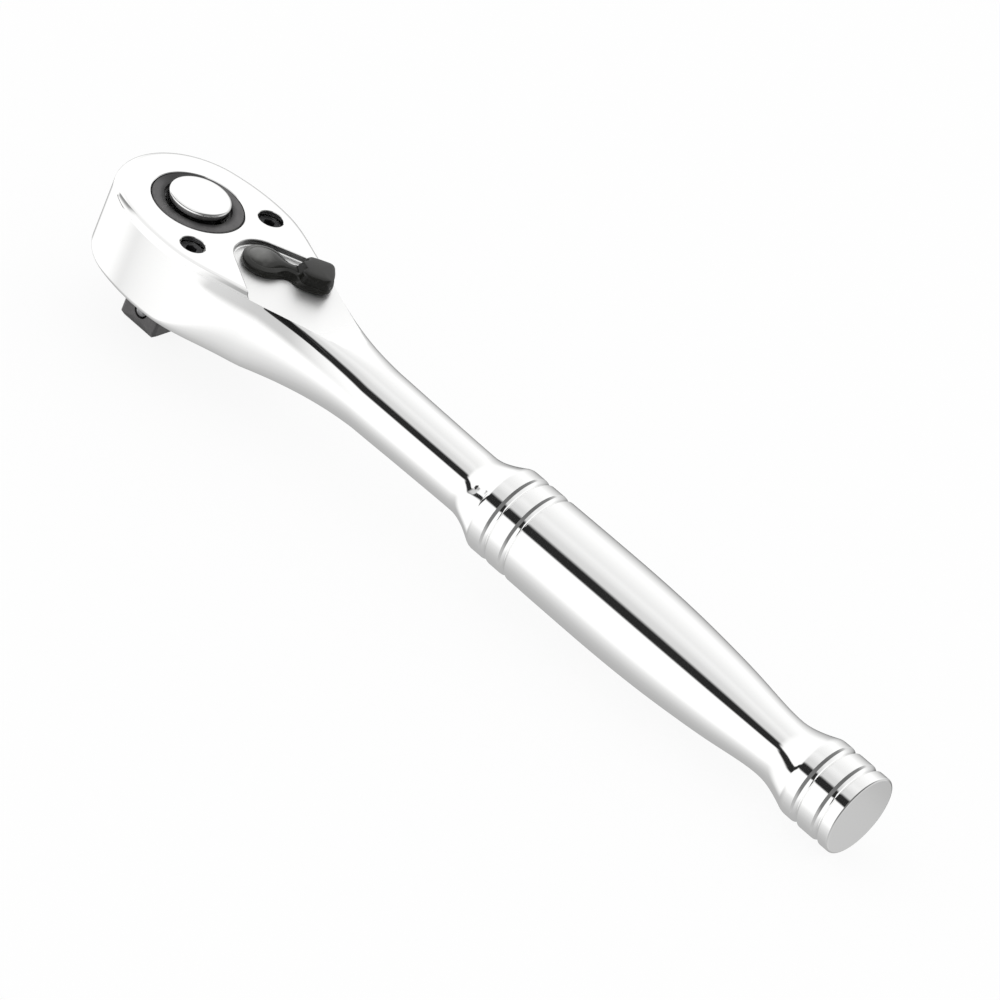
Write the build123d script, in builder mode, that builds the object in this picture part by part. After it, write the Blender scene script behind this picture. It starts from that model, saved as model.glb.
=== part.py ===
from build123d import *
import os
from math import asin, cos, radians, sin, tan

os.makedirs("parts", exist_ok=True)

# Reversible ratchet wrench with a 3/8 inch quick-release square drive, in millimetres.
# The origin is on the drive axis in the plane of the shoulder that a socket seats against.
# +X runs along the handle, +Z points up to the lever side and -Z down the square drive.

# ---------------------------------------------------------------- driving dimensions
# Head forging, seen from above
NOSE_RADIUS = 16.3
NOSE_CENTRE_X = -0.5
NOSE_TURN = 16.0            # degrees that the nose arc still climbs where the side arc takes over
SIDE_RADIUS = 38.9
TAPER_ANGLE = 19.5          # degrees between the straight flank and the handle axis
NECK_START_X = 29.0
HEAD_THICKNESS = 16.5
COLLAR_HEIGHT = 1.3         # the drive's shoulder stands this far below the head
EDGE_ROUND = 0.8
BASE_EDGE_ROUND = 1.2

# Step in the top face that the reversing lever turns in
STEP_DEPTH = 1.3
LEVER_PIVOT_X = 18.8
STEP_APEX_RADIUS = 6.2
STEP_SPREAD = 31.0          # degrees between each side of the step and the handle axis

# Neck, shank and grip, all round the handle axis
SHANK_RADIUS = 6.95
SHANK_END_RADIUS = 6.55
COLLAR_X = 89.0
COLLAR_RADIUS = 9.42
COLLAR_EDGE = 1.0           # length of the rounding between flare and collar
COLLAR_EDGE_DROP = 0.25
COLLAR_EDGE_ANGLE = 29.0    # degrees that the flare still climbs there
FLARE_LENGTH = 8.6
FIRST_GROOVE_OFFSET = 3.6       # from the collar's first edge to the groove's centre
SECOND_GROOVE_OFFSET = 8.7
GRIP_MAX_X = 115.0
GRIP_RADIUS = 9.48
HANDLE_END_X = 183.0
WAIST_FROM_END = 20.8
WAIST_RADIUS = 6.47
END_RING_LENGTH = 11.4
END_RING_RADIUS = 8.7
END_RING_EDGE = 1.2         # length of the rounding between flare and end ring
END_RING_EDGE_DROP = 0.2
END_RING_EDGE_ANGLE = 22.0
THIRD_GROOVE_OFFSET = 8.7          # from the end face to the groove's centre
FOURTH_GROOVE_OFFSET = 3.4
END_EDGE_ROUND = 0.45
GROOVE_WIDTH = 1.8
GROOVE_DEPTH = 0.5

# Cavity under the head, closed by an inset plate
COVER_RIM = 2.0
COVER_THICKNESS = 2.0
COVER_END_X = 27.4
CAVITY_GAP = 0.35           # radial room round the gear's teeth
CAVITY_CEILING = 12.9       # above the head's underside
POCKET_CEILING = 11.0
POCKET_SIDE_GAP = 0.9       # room for the pawl to rock in
POCKET_REAR_GAP = 0.5
POCKET_FRONT_X = 6.0

# Drive gear and its square
TEETH = 48
GEAR_RADIUS = 12.3
TOOTH_DEPTH = 0.85
JOURNAL_STEP = 2.8          # from the gear's tips in to the upper journal
LOWER_JOURNAL_RADIUS = 8.5
DRIVE_COLLAR_RADIUS = 8.1
SQUARE_SIZE = 9.53
SQUARE_LENGTH = 11.6
SQUARE_CORNER_ROUND = 0.9
SQUARE_TIP_CHAMFER = 0.9
JOURNAL_CHAMFER = 0.3
WASHER_THICKNESS = 0.4
GEAR_FLOAT = 0.4            # gap between the gear's teeth and the cover plate
SEAL_WIRE_RADIUS = 0.4

# Quick release
BUTTON_WELL_RADIUS = 7.0
BUTTON_WELL_FLOOR = 7.0     # above the shoulder
BUTTON_FLANGE_RADIUS = 6.9
BUTTON_RADIUS = 6.3
BUTTON_PROUD = 2.0
BUTTON_TRAVEL = 2.5
BUTTON_ROOF = 2.2
BUTTON_FLANGE_LENGTH = 4.2
BUTTON_BOSS_SETBACK = 1.0   # from the flange's lower face up to the boss's
RETAINER_THICKNESS = 0.8
RETAINER_DROP = 0.7         # below the head's top face
BUTTON_EDGE = 0.6
BUTTON_CUP_RADIUS = 5.6
RETAINER_OUTER_RADIUS = 7.5
RETAINER_GAP = 2.0
BOSS_RADIUS = 2.9
SPIGOT_RADIUS = 1.4
ROD_RADIUS = 2.0
ROD_CHAMFER = 0.3
ROD_TAIL = 0.7              # length of rod below the ball's centre
BALL_RADIUS = 1.6
BALL_DROP = 7.6             # from the shoulder to the ball's centre
BALL_RETRACT = 0.75
RELEASE_SPRING_RADIUS = 4.2
RELEASE_WIRE_RADIUS = 0.35
RELEASE_SPRING_TURNS = 6

# Pawl, lever and their spindle
LEVER_REST_ANGLE = 36.0     # degrees that the lever is thrown either way from the handle axis
PAWL_ROCK_ANGLE = 4.0       # degrees that the pawl rocks either way
PAWL_HEIGHT = 7.5
PAWL_WING_START = 22.0      # degrees round the gear
PAWL_WING_END = 39.0
PAWL_HALF_WIDTH = 8.2
PAWL_REAR_RADIUS = 6.3
PAWL_FRONT_GAP = 0.7        # between the gear's tips and the pawl's plain front
PAWL_SHOULDER_SETBACK = 3.0  # from the pivot forward to where the pawl starts to narrow
PAWL_WING_TIP = 0.6         # thickness of a wing at its end
PAWL_WING_STEP = 0.5        # a wing stands this far inside the pawl's flank when in mesh
SPINDLE_RADIUS = 3.0
SPINDLE_FOOT_RADIUS = 2.0
DETENT_RADIUS = 1.2
DETENT_REACH = 5.0          # from the pivot to the detent's nose
DETENT_WIRE_RADIUS = 0.18
DETENT_TAIL = 0.9           # from the pivot to the pin's flat end
DETENT_HOLE_DEPTH = 1.9     # past the pivot
DETENT_SPRING_TURNS = 5
SPINDLE_SEAT_DEPTH = 1.2
RING_WIRE_RADIUS = 0.3
FAN_ANGLE = 60.0            # degrees that the detent's slot opens either side
CLIP_THICKNESS = 0.5
CLIP_RADIUS = 4.6
CLIP_MOUTH = 3.6            # width of the clip's opening
CLIP_GROOVE_DEPTH = 0.6
LEVER_HUB_RADIUS = 4.5
LEVER_EDGE_ROUND = 0.45
LEVER_SOCKET_RADIUS = 2.2
LEVER_SOCKET_DEPTH = 1.1
LEVER_HUB_PROUD = 0.5       # hub top above the head's top face
LEVER_HUB_ARC = 65.0        # degrees round the hub at which the waist takes over
LEVER_WAIST_HALF = 2.3
LEVER_WAIST_AT = 5.7
LEVER_TAB_START = 7.8
LEVER_TAB_HALF = 4.0
LEVER_REACH = 13.9
LEVER_TAB_PROUD = 2.4       # tab top above the head's top face
LEVER_TAB_CROWN = 0.5
LEVER_END_BULGE = 1.0

# Cover screws
SCREW_X = 9.61
SCREW_Y = 11.26
SCREW_HEAD_RADIUS = 2.4
SCREW_HEAD_HEIGHT = 1.6
SCREW_WELL_RADIUS = 2.6
SCREW_WELL_DEPTH = 2.6
SCREW_SHANK_RADIUS = 1.25
SCREW_KEY_SIZE = 2.0        # across the flats of the hexagon socket
SCREW_KEY_DEPTH = 1.1
SCREW_HEAD_CHAMFER = 0.2
SCREW_TIP_RECESS = 0.3      # from the cover's underside up to the screw's end

# Clearances
RUNNING_FIT = 0.06          # radial gap of a shaft in its bearing
SLIDE_FIT = 0.05            # gap of a piece that slides in a guide or sits in a recess
LOOSE_FIT = 0.15            # gap between faces that pass each other
MESH_FIT = 0.1              # gap between the pawl's teeth and the gear's
THREAD_FIT = 0.02           # gap of a thread or a pressed spigot in its hole

# ---------------------------------------------------------------- heights and places
HEAD_BASE = COLLAR_HEIGHT
HEAD_TOP = HEAD_BASE + HEAD_THICKNESS
STEP_FLOOR = HEAD_TOP - STEP_DEPTH
HANDLE_Z = HEAD_BASE + HEAD_THICKNESS / 2
COVER_TOP = HEAD_BASE + COVER_THICKNESS
CAVITY_TOP = HEAD_BASE + CAVITY_CEILING
POCKET_TOP = HEAD_BASE + POCKET_CEILING
CAVITY_RADIUS = GEAR_RADIUS + CAVITY_GAP
UPPER_JOURNAL_RADIUS = GEAR_RADIUS - JOURNAL_STEP
GEAR_BASE = COVER_TOP + GEAR_FLOAT
GEAR_TOP = CAVITY_TOP - WASHER_THICKNESS - 2 * SLIDE_FIT
SEAL_GROOVE_DEPTH = 2 * SEAL_WIRE_RADIUS
RETAINER_TOP = HEAD_TOP - RETAINER_DROP
ROD_END_Z = -BALL_DROP - ROD_TAIL
ROD_BORE_END = ROD_END_Z - BUTTON_TRAVEL - LOOSE_FIT
CONE_SLANT = (BALL_RETRACT**2 + BUTTON_TRAVEL**2) ** 0.5
PAWL_BASE = COVER_TOP + LOOSE_FIT
PAWL_TOP = PAWL_BASE + PAWL_HEIGHT
DETENT_Z = PAWL_BASE + PAWL_HEIGHT / 2
FAN_RADIUS = DETENT_REACH + SLIDE_FIT
CLIP_BASE = PAWL_TOP + 2 * LOOSE_FIT
CLIP_GROOVE_RADIUS = SPINDLE_RADIUS - CLIP_GROOVE_DEPTH
FOOT_BASE = COVER_TOP - SPINDLE_SEAT_DEPTH + LOOSE_FIT
SPINDLE_BASE = COVER_TOP + LOOSE_FIT
RING_Z = (POCKET_TOP + STEP_FLOOR) / 2
RING_GROOVE_RADIUS = SPINDLE_RADIUS - 2 * RING_WIRE_RADIUS
BEND = 1 - cos(radians(45))  # share of a round corner's size that its middle stands inside
HANDLE_AXIS = Axis((0, 0, HANDLE_Z), (1, 0, 0))
PIVOT_AXIS = Axis((LEVER_PIVOT_X, 0, 0), (0, 0, 1))

# Corners of the head's outline: nose arc to side arc, side arc to straight flank, flank to neck
NOSE_POINT = (NOSE_CENTRE_X - NOSE_RADIUS, 0)
SHOULDER_POINT = (
    NOSE_CENTRE_X - NOSE_RADIUS * sin(radians(NOSE_TURN)),
    NOSE_RADIUS * cos(radians(NOSE_TURN)),
)
SIDE_CENTRE = (
    SHOULDER_POINT[0] + SIDE_RADIUS * sin(radians(NOSE_TURN)),
    SHOULDER_POINT[1] - SIDE_RADIUS * cos(radians(NOSE_TURN)),
)
SIDE_TOP = (SIDE_CENTRE[0], SIDE_CENTRE[1] + SIDE_RADIUS)
CHEEK_POINT = (
    SIDE_CENTRE[0] + SIDE_RADIUS * sin(radians(TAPER_ANGLE)),
    SIDE_CENTRE[1] + SIDE_RADIUS * cos(radians(TAPER_ANGLE)),
)
NECK_HALF_WIDTH = CHEEK_POINT[1] - (NECK_START_X - CHEEK_POINT[0]) * tan(radians(TAPER_ANGLE))
NECK_RISE = NECK_HALF_WIDTH - SHANK_RADIUS
NECK_END_X = NECK_START_X + 2 * NECK_RISE / tan(radians(TAPER_ANGLE))
NECK_SECTIONS = 6


def mirrored(point):
    """The point on the other side of the handle axis."""
    return (point[0], -point[1])


def turned(radius, angle, centre=(0, 0)):
    """A point at this radius and angle in degrees round a centre."""
    return (
        centre[0] + radius * cos(radians(angle)),
        centre[1] + radius * sin(radians(angle)),
    )


# Head outline as a face, reused by the forging and its cover plate
with BuildSketch() as head_outline:
    with BuildLine():
        ThreePointArc(mirrored(SHOULDER_POINT), NOSE_POINT, SHOULDER_POINT)
        ThreePointArc(SHOULDER_POINT, SIDE_TOP, CHEEK_POINT)
        Line(CHEEK_POINT, (NECK_START_X, NECK_HALF_WIDTH))
        Line((NECK_START_X, NECK_HALF_WIDTH), (NECK_START_X, -NECK_HALF_WIDTH))
        Line((NECK_START_X, -NECK_HALF_WIDTH), mirrored(CHEEK_POINT))
        ThreePointArc(mirrored(CHEEK_POINT), mirrored(SIDE_TOP), mirrored(SHOULDER_POINT))
    make_face()

# Cover outline: the head's, drawn in by the rim and cut off short of the neck
with BuildSketch() as cover_outline:
    add(offset(head_outline.face(), amount=-COVER_RIM, mode=Mode.PRIVATE))
    with Locations((COVER_END_X, 0)):
        Rectangle(
            NECK_START_X,
            4 * NOSE_RADIUS,
            align=(Align.MIN, Align.CENTER),
            mode=Mode.SUBTRACT,
        )

# Pawl pocket outline: wide beside the gear, drawn in round the pivot
POCKET_HALF_WIDTH = PAWL_HALF_WIDTH + POCKET_SIDE_GAP
POCKET_REAR_RADIUS = PAWL_REAR_RADIUS + POCKET_REAR_GAP
POCKET_BEND_X = LEVER_PIVOT_X - PAWL_SHOULDER_SETBACK / 3
POCKET_CORNER = turned(POCKET_REAR_RADIUS, 35, (LEVER_PIVOT_X, 0))
with BuildSketch() as pocket_outline:
    with BuildLine():
        Polyline(
            POCKET_CORNER,
            (POCKET_BEND_X, POCKET_HALF_WIDTH),
            (POCKET_FRONT_X, POCKET_HALF_WIDTH),
            (POCKET_FRONT_X, -POCKET_HALF_WIDTH),
            (POCKET_BEND_X, -POCKET_HALF_WIDTH),
            mirrored(POCKET_CORNER),
        )
        ThreePointArc(
            mirrored(POCKET_CORNER),
            (LEVER_PIVOT_X + POCKET_REAR_RADIUS, 0),
            POCKET_CORNER,
        )
    make_face()

# Gear teeth: pointed ridges, one every turn / TEETH, with a root between each pair
TOOTH_STEP = 360 / TEETH


def tooth_points(tip_radius, root_radius):
    """Corners of the toothed rim, tip and root in turn."""
    return [
        turned(tip_radius if i % 2 == 0 else root_radius, i * TOOTH_STEP / 2)
        for i in range(2 * TEETH)
    ]


# ---------------------------------------------------------------- wrench body
# One forging: head, neck, shank and grip. The head is hollow from below.
STEP_TANGENT = turned(STEP_APEX_RADIUS, 90 + STEP_SPREAD, (LEVER_PIVOT_X, 0))
STEP_APEX = (LEVER_PIVOT_X - STEP_APEX_RADIUS, 0)
STEP_FAR_X = NECK_START_X + COVER_RIM
STEP_FAR = (
    STEP_FAR_X,
    STEP_TANGENT[1] + (STEP_FAR_X - STEP_TANGENT[0]) * tan(radians(STEP_SPREAD)),
)
WAIST_X = HANDLE_END_X - WAIST_FROM_END
END_RING_X = HANDLE_END_X - END_RING_LENGTH
COLLAR_EDGE_POINT = (COLLAR_X - COLLAR_EDGE, HANDLE_Z + COLLAR_RADIUS - COLLAR_EDGE_DROP)
END_RING_EDGE_POINT = (
    END_RING_X - END_RING_EDGE,
    HANDLE_Z + END_RING_RADIUS - END_RING_EDGE_DROP,
)
GRIP_DROP = [(0.375, 0.126), (0.545, 0.300), (0.714, 0.538), (0.883, 0.867)]


def grip_point(share, drop):
    """A point on the grip's taper from its fattest section to its waist."""
    return (
        GRIP_MAX_X + share * (WAIST_X - GRIP_MAX_X),
        HANDLE_Z + GRIP_RADIUS - drop * (GRIP_RADIUS - WAIST_RADIUS),
    )


def groove(centre_x, radius):
    """Half-round groove in the handle's profile, from one lip to the other."""
    ThreePointArc(
        (centre_x - GROOVE_WIDTH / 2, HANDLE_Z + radius),
        (centre_x, HANDLE_Z + radius - GROOVE_DEPTH),
        (centre_x + GROOVE_WIDTH / 2, HANDLE_Z + radius),
    )


with BuildPart() as wrench_body:
    with BuildSketch(Plane.XY.offset(HEAD_BASE)):
        add(head_outline.face())
    extrude(amount=HEAD_THICKNESS)
    top_edges = wrench_body.faces().sort_by(Axis.Z)[-1].edges().sort_by(Axis.X)[:-1]
    fillet(top_edges, radius=EDGE_ROUND)
    base_edges = wrench_body.faces().sort_by(Axis.Z)[0].edges().sort_by(Axis.X)[:-1]
    fillet(base_edges, radius=BASE_EDGE_ROUND)
    # V-shaped step that opens towards the handle
    with BuildSketch(Plane.XY.offset(STEP_FLOOR)):
        with BuildLine():
            ThreePointArc(STEP_TANGENT, STEP_APEX, mirrored(STEP_TANGENT))
            Polyline(mirrored(STEP_TANGENT), mirrored(STEP_FAR), STEP_FAR, STEP_TANGENT)
        make_face()
    extrude(amount=2 * STEP_DEPTH, mode=Mode.SUBTRACT)
    # Neck: rounded rectangles that shrink and round off into the shank
    for i in range(NECK_SECTIONS + 1):
        share = i / NECK_SECTIONS
        left = (1 - share) ** 2
        half_width = SHANK_RADIUS + NECK_RISE * left
        section_base = HANDLE_Z - SHANK_RADIUS - (HANDLE_Z - SHANK_RADIUS - HEAD_BASE) * left
        section_top = HANDLE_Z + SHANK_RADIUS - (HANDLE_Z + SHANK_RADIUS - STEP_FLOOR) * left
        section_height = section_top - section_base
        corner = EDGE_ROUND + (0.99 * SHANK_RADIUS - EDGE_ROUND) * share
        section_x = NECK_START_X + share * (NECK_END_X - NECK_START_X)
        with BuildSketch(
            Plane(
                origin=(section_x, 0, (section_base + section_top) / 2),
                x_dir=(0, 1, 0),
                z_dir=(1, 0, 0),
            )
        ):
            RectangleRounded(2 * half_width, section_height, corner)
    loft()
    # Shank, collar, grip and end ring, turned about the handle axis
    with BuildSketch(Plane.XZ):
        with BuildLine():
            Line((NECK_END_X, HANDLE_Z), (NECK_END_X, HANDLE_Z + SHANK_RADIUS))
            Line(
                (NECK_END_X, HANDLE_Z + SHANK_RADIUS),
                (COLLAR_X - FLARE_LENGTH, HANDLE_Z + SHANK_END_RADIUS),
            )
            Spline(
                (COLLAR_X - FLARE_LENGTH, HANDLE_Z + SHANK_END_RADIUS),
                COLLAR_EDGE_POINT,
                tangents=[(1, 0), (1, tan(radians(COLLAR_EDGE_ANGLE)))],
            )
            TangentArc(
                COLLAR_EDGE_POINT,
                (COLLAR_X, HANDLE_Z + COLLAR_RADIUS),
                tangent=(1, tan(radians(COLLAR_EDGE_ANGLE))),
            )
            Line(
                (COLLAR_X, HANDLE_Z + COLLAR_RADIUS),
                (COLLAR_X + FIRST_GROOVE_OFFSET - GROOVE_WIDTH / 2, HANDLE_Z + COLLAR_RADIUS),
            )
            groove(COLLAR_X + FIRST_GROOVE_OFFSET, COLLAR_RADIUS)
            Line(
                (COLLAR_X + FIRST_GROOVE_OFFSET + GROOVE_WIDTH / 2, HANDLE_Z + COLLAR_RADIUS),
                (COLLAR_X + SECOND_GROOVE_OFFSET - GROOVE_WIDTH / 2, HANDLE_Z + COLLAR_RADIUS),
            )
            groove(COLLAR_X + SECOND_GROOVE_OFFSET, COLLAR_RADIUS)
            Spline(
                (COLLAR_X + SECOND_GROOVE_OFFSET + GROOVE_WIDTH / 2, HANDLE_Z + COLLAR_RADIUS),
                (GRIP_MAX_X, HANDLE_Z + GRIP_RADIUS),
                *[grip_point(share, drop) for share, drop in GRIP_DROP],
                (WAIST_X, HANDLE_Z + WAIST_RADIUS),
                tangents=[(1, 0), (1, 0)],
            )
            Spline(
                (WAIST_X, HANDLE_Z + WAIST_RADIUS),
                END_RING_EDGE_POINT,
                tangents=[(1, 0), (1, tan(radians(END_RING_EDGE_ANGLE)))],
            )
            TangentArc(
                END_RING_EDGE_POINT,
                (END_RING_X, HANDLE_Z + END_RING_RADIUS),
                tangent=(1, tan(radians(END_RING_EDGE_ANGLE))),
            )
            Line(
                (END_RING_X, HANDLE_Z + END_RING_RADIUS),
                (HANDLE_END_X - THIRD_GROOVE_OFFSET - GROOVE_WIDTH / 2, HANDLE_Z + END_RING_RADIUS),
            )
            groove(HANDLE_END_X - THIRD_GROOVE_OFFSET, END_RING_RADIUS)
            Line(
                (HANDLE_END_X - THIRD_GROOVE_OFFSET + GROOVE_WIDTH / 2, HANDLE_Z + END_RING_RADIUS),
                (HANDLE_END_X - FOURTH_GROOVE_OFFSET - GROOVE_WIDTH / 2, HANDLE_Z + END_RING_RADIUS),
            )
            groove(HANDLE_END_X - FOURTH_GROOVE_OFFSET, END_RING_RADIUS)
            Line(
                (HANDLE_END_X - FOURTH_GROOVE_OFFSET + GROOVE_WIDTH / 2, HANDLE_Z + END_RING_RADIUS),
                (HANDLE_END_X - END_EDGE_ROUND, HANDLE_Z + END_RING_RADIUS),
            )
            RadiusArc(
                (HANDLE_END_X - END_EDGE_ROUND, HANDLE_Z + END_RING_RADIUS),
                (HANDLE_END_X, HANDLE_Z + END_RING_RADIUS - END_EDGE_ROUND),
                END_EDGE_ROUND,
            )
            Line(
                (HANDLE_END_X, HANDLE_Z + END_RING_RADIUS - END_EDGE_ROUND),
                (HANDLE_END_X, HANDLE_Z),
            )
            Line((HANDLE_END_X, HANDLE_Z), (NECK_END_X, HANDLE_Z))
        make_face()
    revolve(axis=HANDLE_AXIS)
    # Recess for the cover plate, gear cavity and pawl pocket, all open to the underside
    with BuildSketch(Plane.XY.offset(HEAD_BASE)):
        add(cover_outline.face())
    extrude(amount=COVER_THICKNESS, mode=Mode.SUBTRACT)
    with BuildSketch(Plane.XY.offset(HEAD_BASE)):
        Circle(CAVITY_RADIUS)
    extrude(amount=CAVITY_CEILING, mode=Mode.SUBTRACT)
    with BuildSketch(Plane.XY.offset(HEAD_BASE)):
        add(pocket_outline.face())
    extrude(amount=POCKET_CEILING, mode=Mode.SUBTRACT)
    # Bearing bore of the drive gear, and the spindle's bore
    with Locations((0, 0, CAVITY_TOP)):
        Cylinder(
            UPPER_JOURNAL_RADIUS + RUNNING_FIT,
            HEAD_THICKNESS,
            align=(Align.CENTER, Align.CENTER, Align.MIN),
            mode=Mode.SUBTRACT,
        )
    with Locations((LEVER_PIVOT_X, 0, POCKET_TOP)):
        Cylinder(
            SPINDLE_RADIUS + RUNNING_FIT,
            HEAD_THICKNESS,
            align=(Align.CENTER, Align.CENTER, Align.MIN),
            mode=Mode.SUBTRACT,
        )
    # Two screw holes, each with a well for the screw's head
    with Locations((SCREW_X, SCREW_Y, HEAD_TOP), (SCREW_X, -SCREW_Y, HEAD_TOP)):
        CounterBoreHole(
            radius=SCREW_SHANK_RADIUS + SLIDE_FIT,
            counter_bore_radius=SCREW_WELL_RADIUS,
            counter_bore_depth=SCREW_WELL_DEPTH,
            depth=HEAD_THICKNESS,
        )
wrench_body.part.label = "wrench_body"
export_step(wrench_body.part, "parts/wrench_body.step")

# ---------------------------------------------------------------- cover plate
# Inset plate that closes the head from below and carries the gear's lower journal.
with BuildPart() as cover_plate:
    with BuildSketch(Plane.XY.offset(HEAD_BASE)):
        add(offset(cover_outline.face(), amount=-SLIDE_FIT, mode=Mode.PRIVATE))
        Circle(LOWER_JOURNAL_RADIUS + RUNNING_FIT, mode=Mode.SUBTRACT)
    extrude(amount=COVER_THICKNESS)
    with Locations((SCREW_X, SCREW_Y, COVER_TOP), (SCREW_X, -SCREW_Y, COVER_TOP)):
        Hole(radius=SCREW_SHANK_RADIUS + THREAD_FIT, depth=COVER_THICKNESS)
    # Blind seat for the foot of the lever's spindle
    with Locations((LEVER_PIVOT_X, 0, COVER_TOP)):
        Hole(radius=SPINDLE_FOOT_RADIUS + RUNNING_FIT, depth=SPINDLE_SEAT_DEPTH)
cover_plate.part.label = "cover_plate"
export_step(cover_plate.part, "parts/cover_plate.step")

# ---------------------------------------------------------------- cover screws
# Two socket screws, dropped in from the top face and threaded into the cover plate.
SCREW_SEAT_Z = HEAD_TOP - SCREW_WELL_DEPTH
with BuildPart() as cover_screws:
    with Locations((SCREW_X, SCREW_Y, SCREW_SEAT_Z), (SCREW_X, -SCREW_Y, SCREW_SEAT_Z)):
        Cylinder(
            SCREW_HEAD_RADIUS,
            SCREW_HEAD_HEIGHT,
            align=(Align.CENTER, Align.CENTER, Align.MIN),
        )
    chamfer(cover_screws.edges().group_by(Axis.Z)[-1], length=SCREW_HEAD_CHAMFER)
    with BuildSketch(Plane.XY.offset(SCREW_SEAT_Z)):
        with Locations((SCREW_X, SCREW_Y), (SCREW_X, -SCREW_Y)):
            Circle(SCREW_SHANK_RADIUS)
    extrude(amount=-(SCREW_SEAT_Z - HEAD_BASE - SCREW_TIP_RECESS))
    with BuildSketch(Plane.XY.offset(SCREW_SEAT_Z + SCREW_HEAD_HEIGHT)):
        with Locations((SCREW_X, SCREW_Y), (SCREW_X, -SCREW_Y)):
            RegularPolygon(SCREW_KEY_SIZE / 2, 6, major_radius=False)
    extrude(amount=-SCREW_KEY_DEPTH, mode=Mode.SUBTRACT)
cover_screws.part.label = "cover_screws"
export_step(cover_screws.part, "parts/cover_screws.step")

# ---------------------------------------------------------------- thrust washer
# Flat ring between the gear's shoulder and the cavity's ceiling.
with BuildPart() as thrust_washer:
    with BuildSketch(Plane.XY.offset(GEAR_TOP + SLIDE_FIT)):
        Circle(GEAR_RADIUS - TOOTH_DEPTH)
        Circle(UPPER_JOURNAL_RADIUS + LOOSE_FIT, mode=Mode.SUBTRACT)
    extrude(amount=WASHER_THICKNESS)
thrust_washer.part.label = "thrust_washer"
export_step(thrust_washer.part, "parts/thrust_washer.step")

# ---------------------------------------------------------------- drive gear
# One piece: toothed rim, two journals, collar and square drive, bored for the quick release.
SEAL_Z = HEAD_BASE + COVER_THICKNESS / 2
with BuildPart() as drive_gear:
    with BuildSketch(Plane.XY.offset(GEAR_BASE)):
        Polygon(*tooth_points(GEAR_RADIUS, GEAR_RADIUS - TOOTH_DEPTH), align=None)
    extrude(amount=GEAR_TOP - GEAR_BASE)
    with BuildSketch(Plane.XY.offset(GEAR_TOP)):
        Circle(UPPER_JOURNAL_RADIUS)
    extrude(amount=HEAD_TOP - GEAR_TOP)
    chamfer(drive_gear.edges().group_by(Axis.Z)[-1], length=JOURNAL_CHAMFER)
    with BuildSketch(Plane.XY.offset(HEAD_BASE)):
        Circle(LOWER_JOURNAL_RADIUS)
    extrude(amount=GEAR_BASE - HEAD_BASE)
    with BuildSketch():
        Circle(DRIVE_COLLAR_RADIUS)
    extrude(amount=HEAD_BASE)
    with BuildSketch():
        RectangleRounded(SQUARE_SIZE, SQUARE_SIZE, SQUARE_CORNER_ROUND)
    extrude(amount=-SQUARE_LENGTH)
    chamfer(drive_gear.edges().group_by(Axis.Z)[0], length=SQUARE_TIP_CHAMFER)
    # Button well with the groove of its retaining ring, rod bore and cross bore of the ball
    with Locations((0, 0, HEAD_TOP)):
        Hole(radius=BUTTON_WELL_RADIUS, depth=HEAD_TOP - BUTTON_WELL_FLOOR)
        Hole(radius=ROD_RADIUS + SLIDE_FIT, depth=HEAD_TOP - ROD_BORE_END)
    with BuildSketch(Plane.XY.offset(RETAINER_TOP + SLIDE_FIT)):
        Circle(RETAINER_OUTER_RADIUS + SLIDE_FIT)
    extrude(amount=-(RETAINER_THICKNESS + 2 * SLIDE_FIT), mode=Mode.SUBTRACT)
    with BuildSketch(Plane.XZ):
        with Locations((0, -BALL_DROP)):
            Circle(BALL_RADIUS + SLIDE_FIT)
    extrude(amount=SQUARE_SIZE, mode=Mode.SUBTRACT)
    # Groove of the dust seal in the lower journal
    with BuildSketch(Plane.XZ):
        with Locations((LOWER_JOURNAL_RADIUS, SEAL_Z)):
            Rectangle(2 * SEAL_GROOVE_DEPTH, 2 * SEAL_WIRE_RADIUS + SLIDE_FIT)
    revolve(axis=Axis.Z, mode=Mode.SUBTRACT)
drive_gear.part.label = "drive_gear"
export_step(drive_gear.part, "parts/drive_gear.step")

# ---------------------------------------------------------------- dust seal
# Rubber ring in the lower journal's groove.
with BuildPart() as dust_seal:
    with Locations((0, 0, SEAL_Z)):
        Torus(LOWER_JOURNAL_RADIUS + RUNNING_FIT / 2 - SEAL_WIRE_RADIUS, SEAL_WIRE_RADIUS)
dust_seal.part.label = "dust_seal"
export_step(dust_seal.part, "parts/dust_seal.step")

# ---------------------------------------------------------------- button retaining ring
# Split spring ring in the button well, above the button's flange.
with BuildPart() as button_retaining_ring:
    with BuildSketch(Plane.XY.offset(RETAINER_TOP)):
        Circle(RETAINER_OUTER_RADIUS)
        Circle(BUTTON_RADIUS + LOOSE_FIT, mode=Mode.SUBTRACT)
        with Locations((RETAINER_OUTER_RADIUS, 0)):
            Rectangle(2 * RETAINER_OUTER_RADIUS, RETAINER_GAP, mode=Mode.SUBTRACT)
    extrude(amount=-RETAINER_THICKNESS)
button_retaining_ring.part.label = "button_retaining_ring"
export_step(button_retaining_ring.part, "parts/button_retaining_ring.step")

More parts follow.
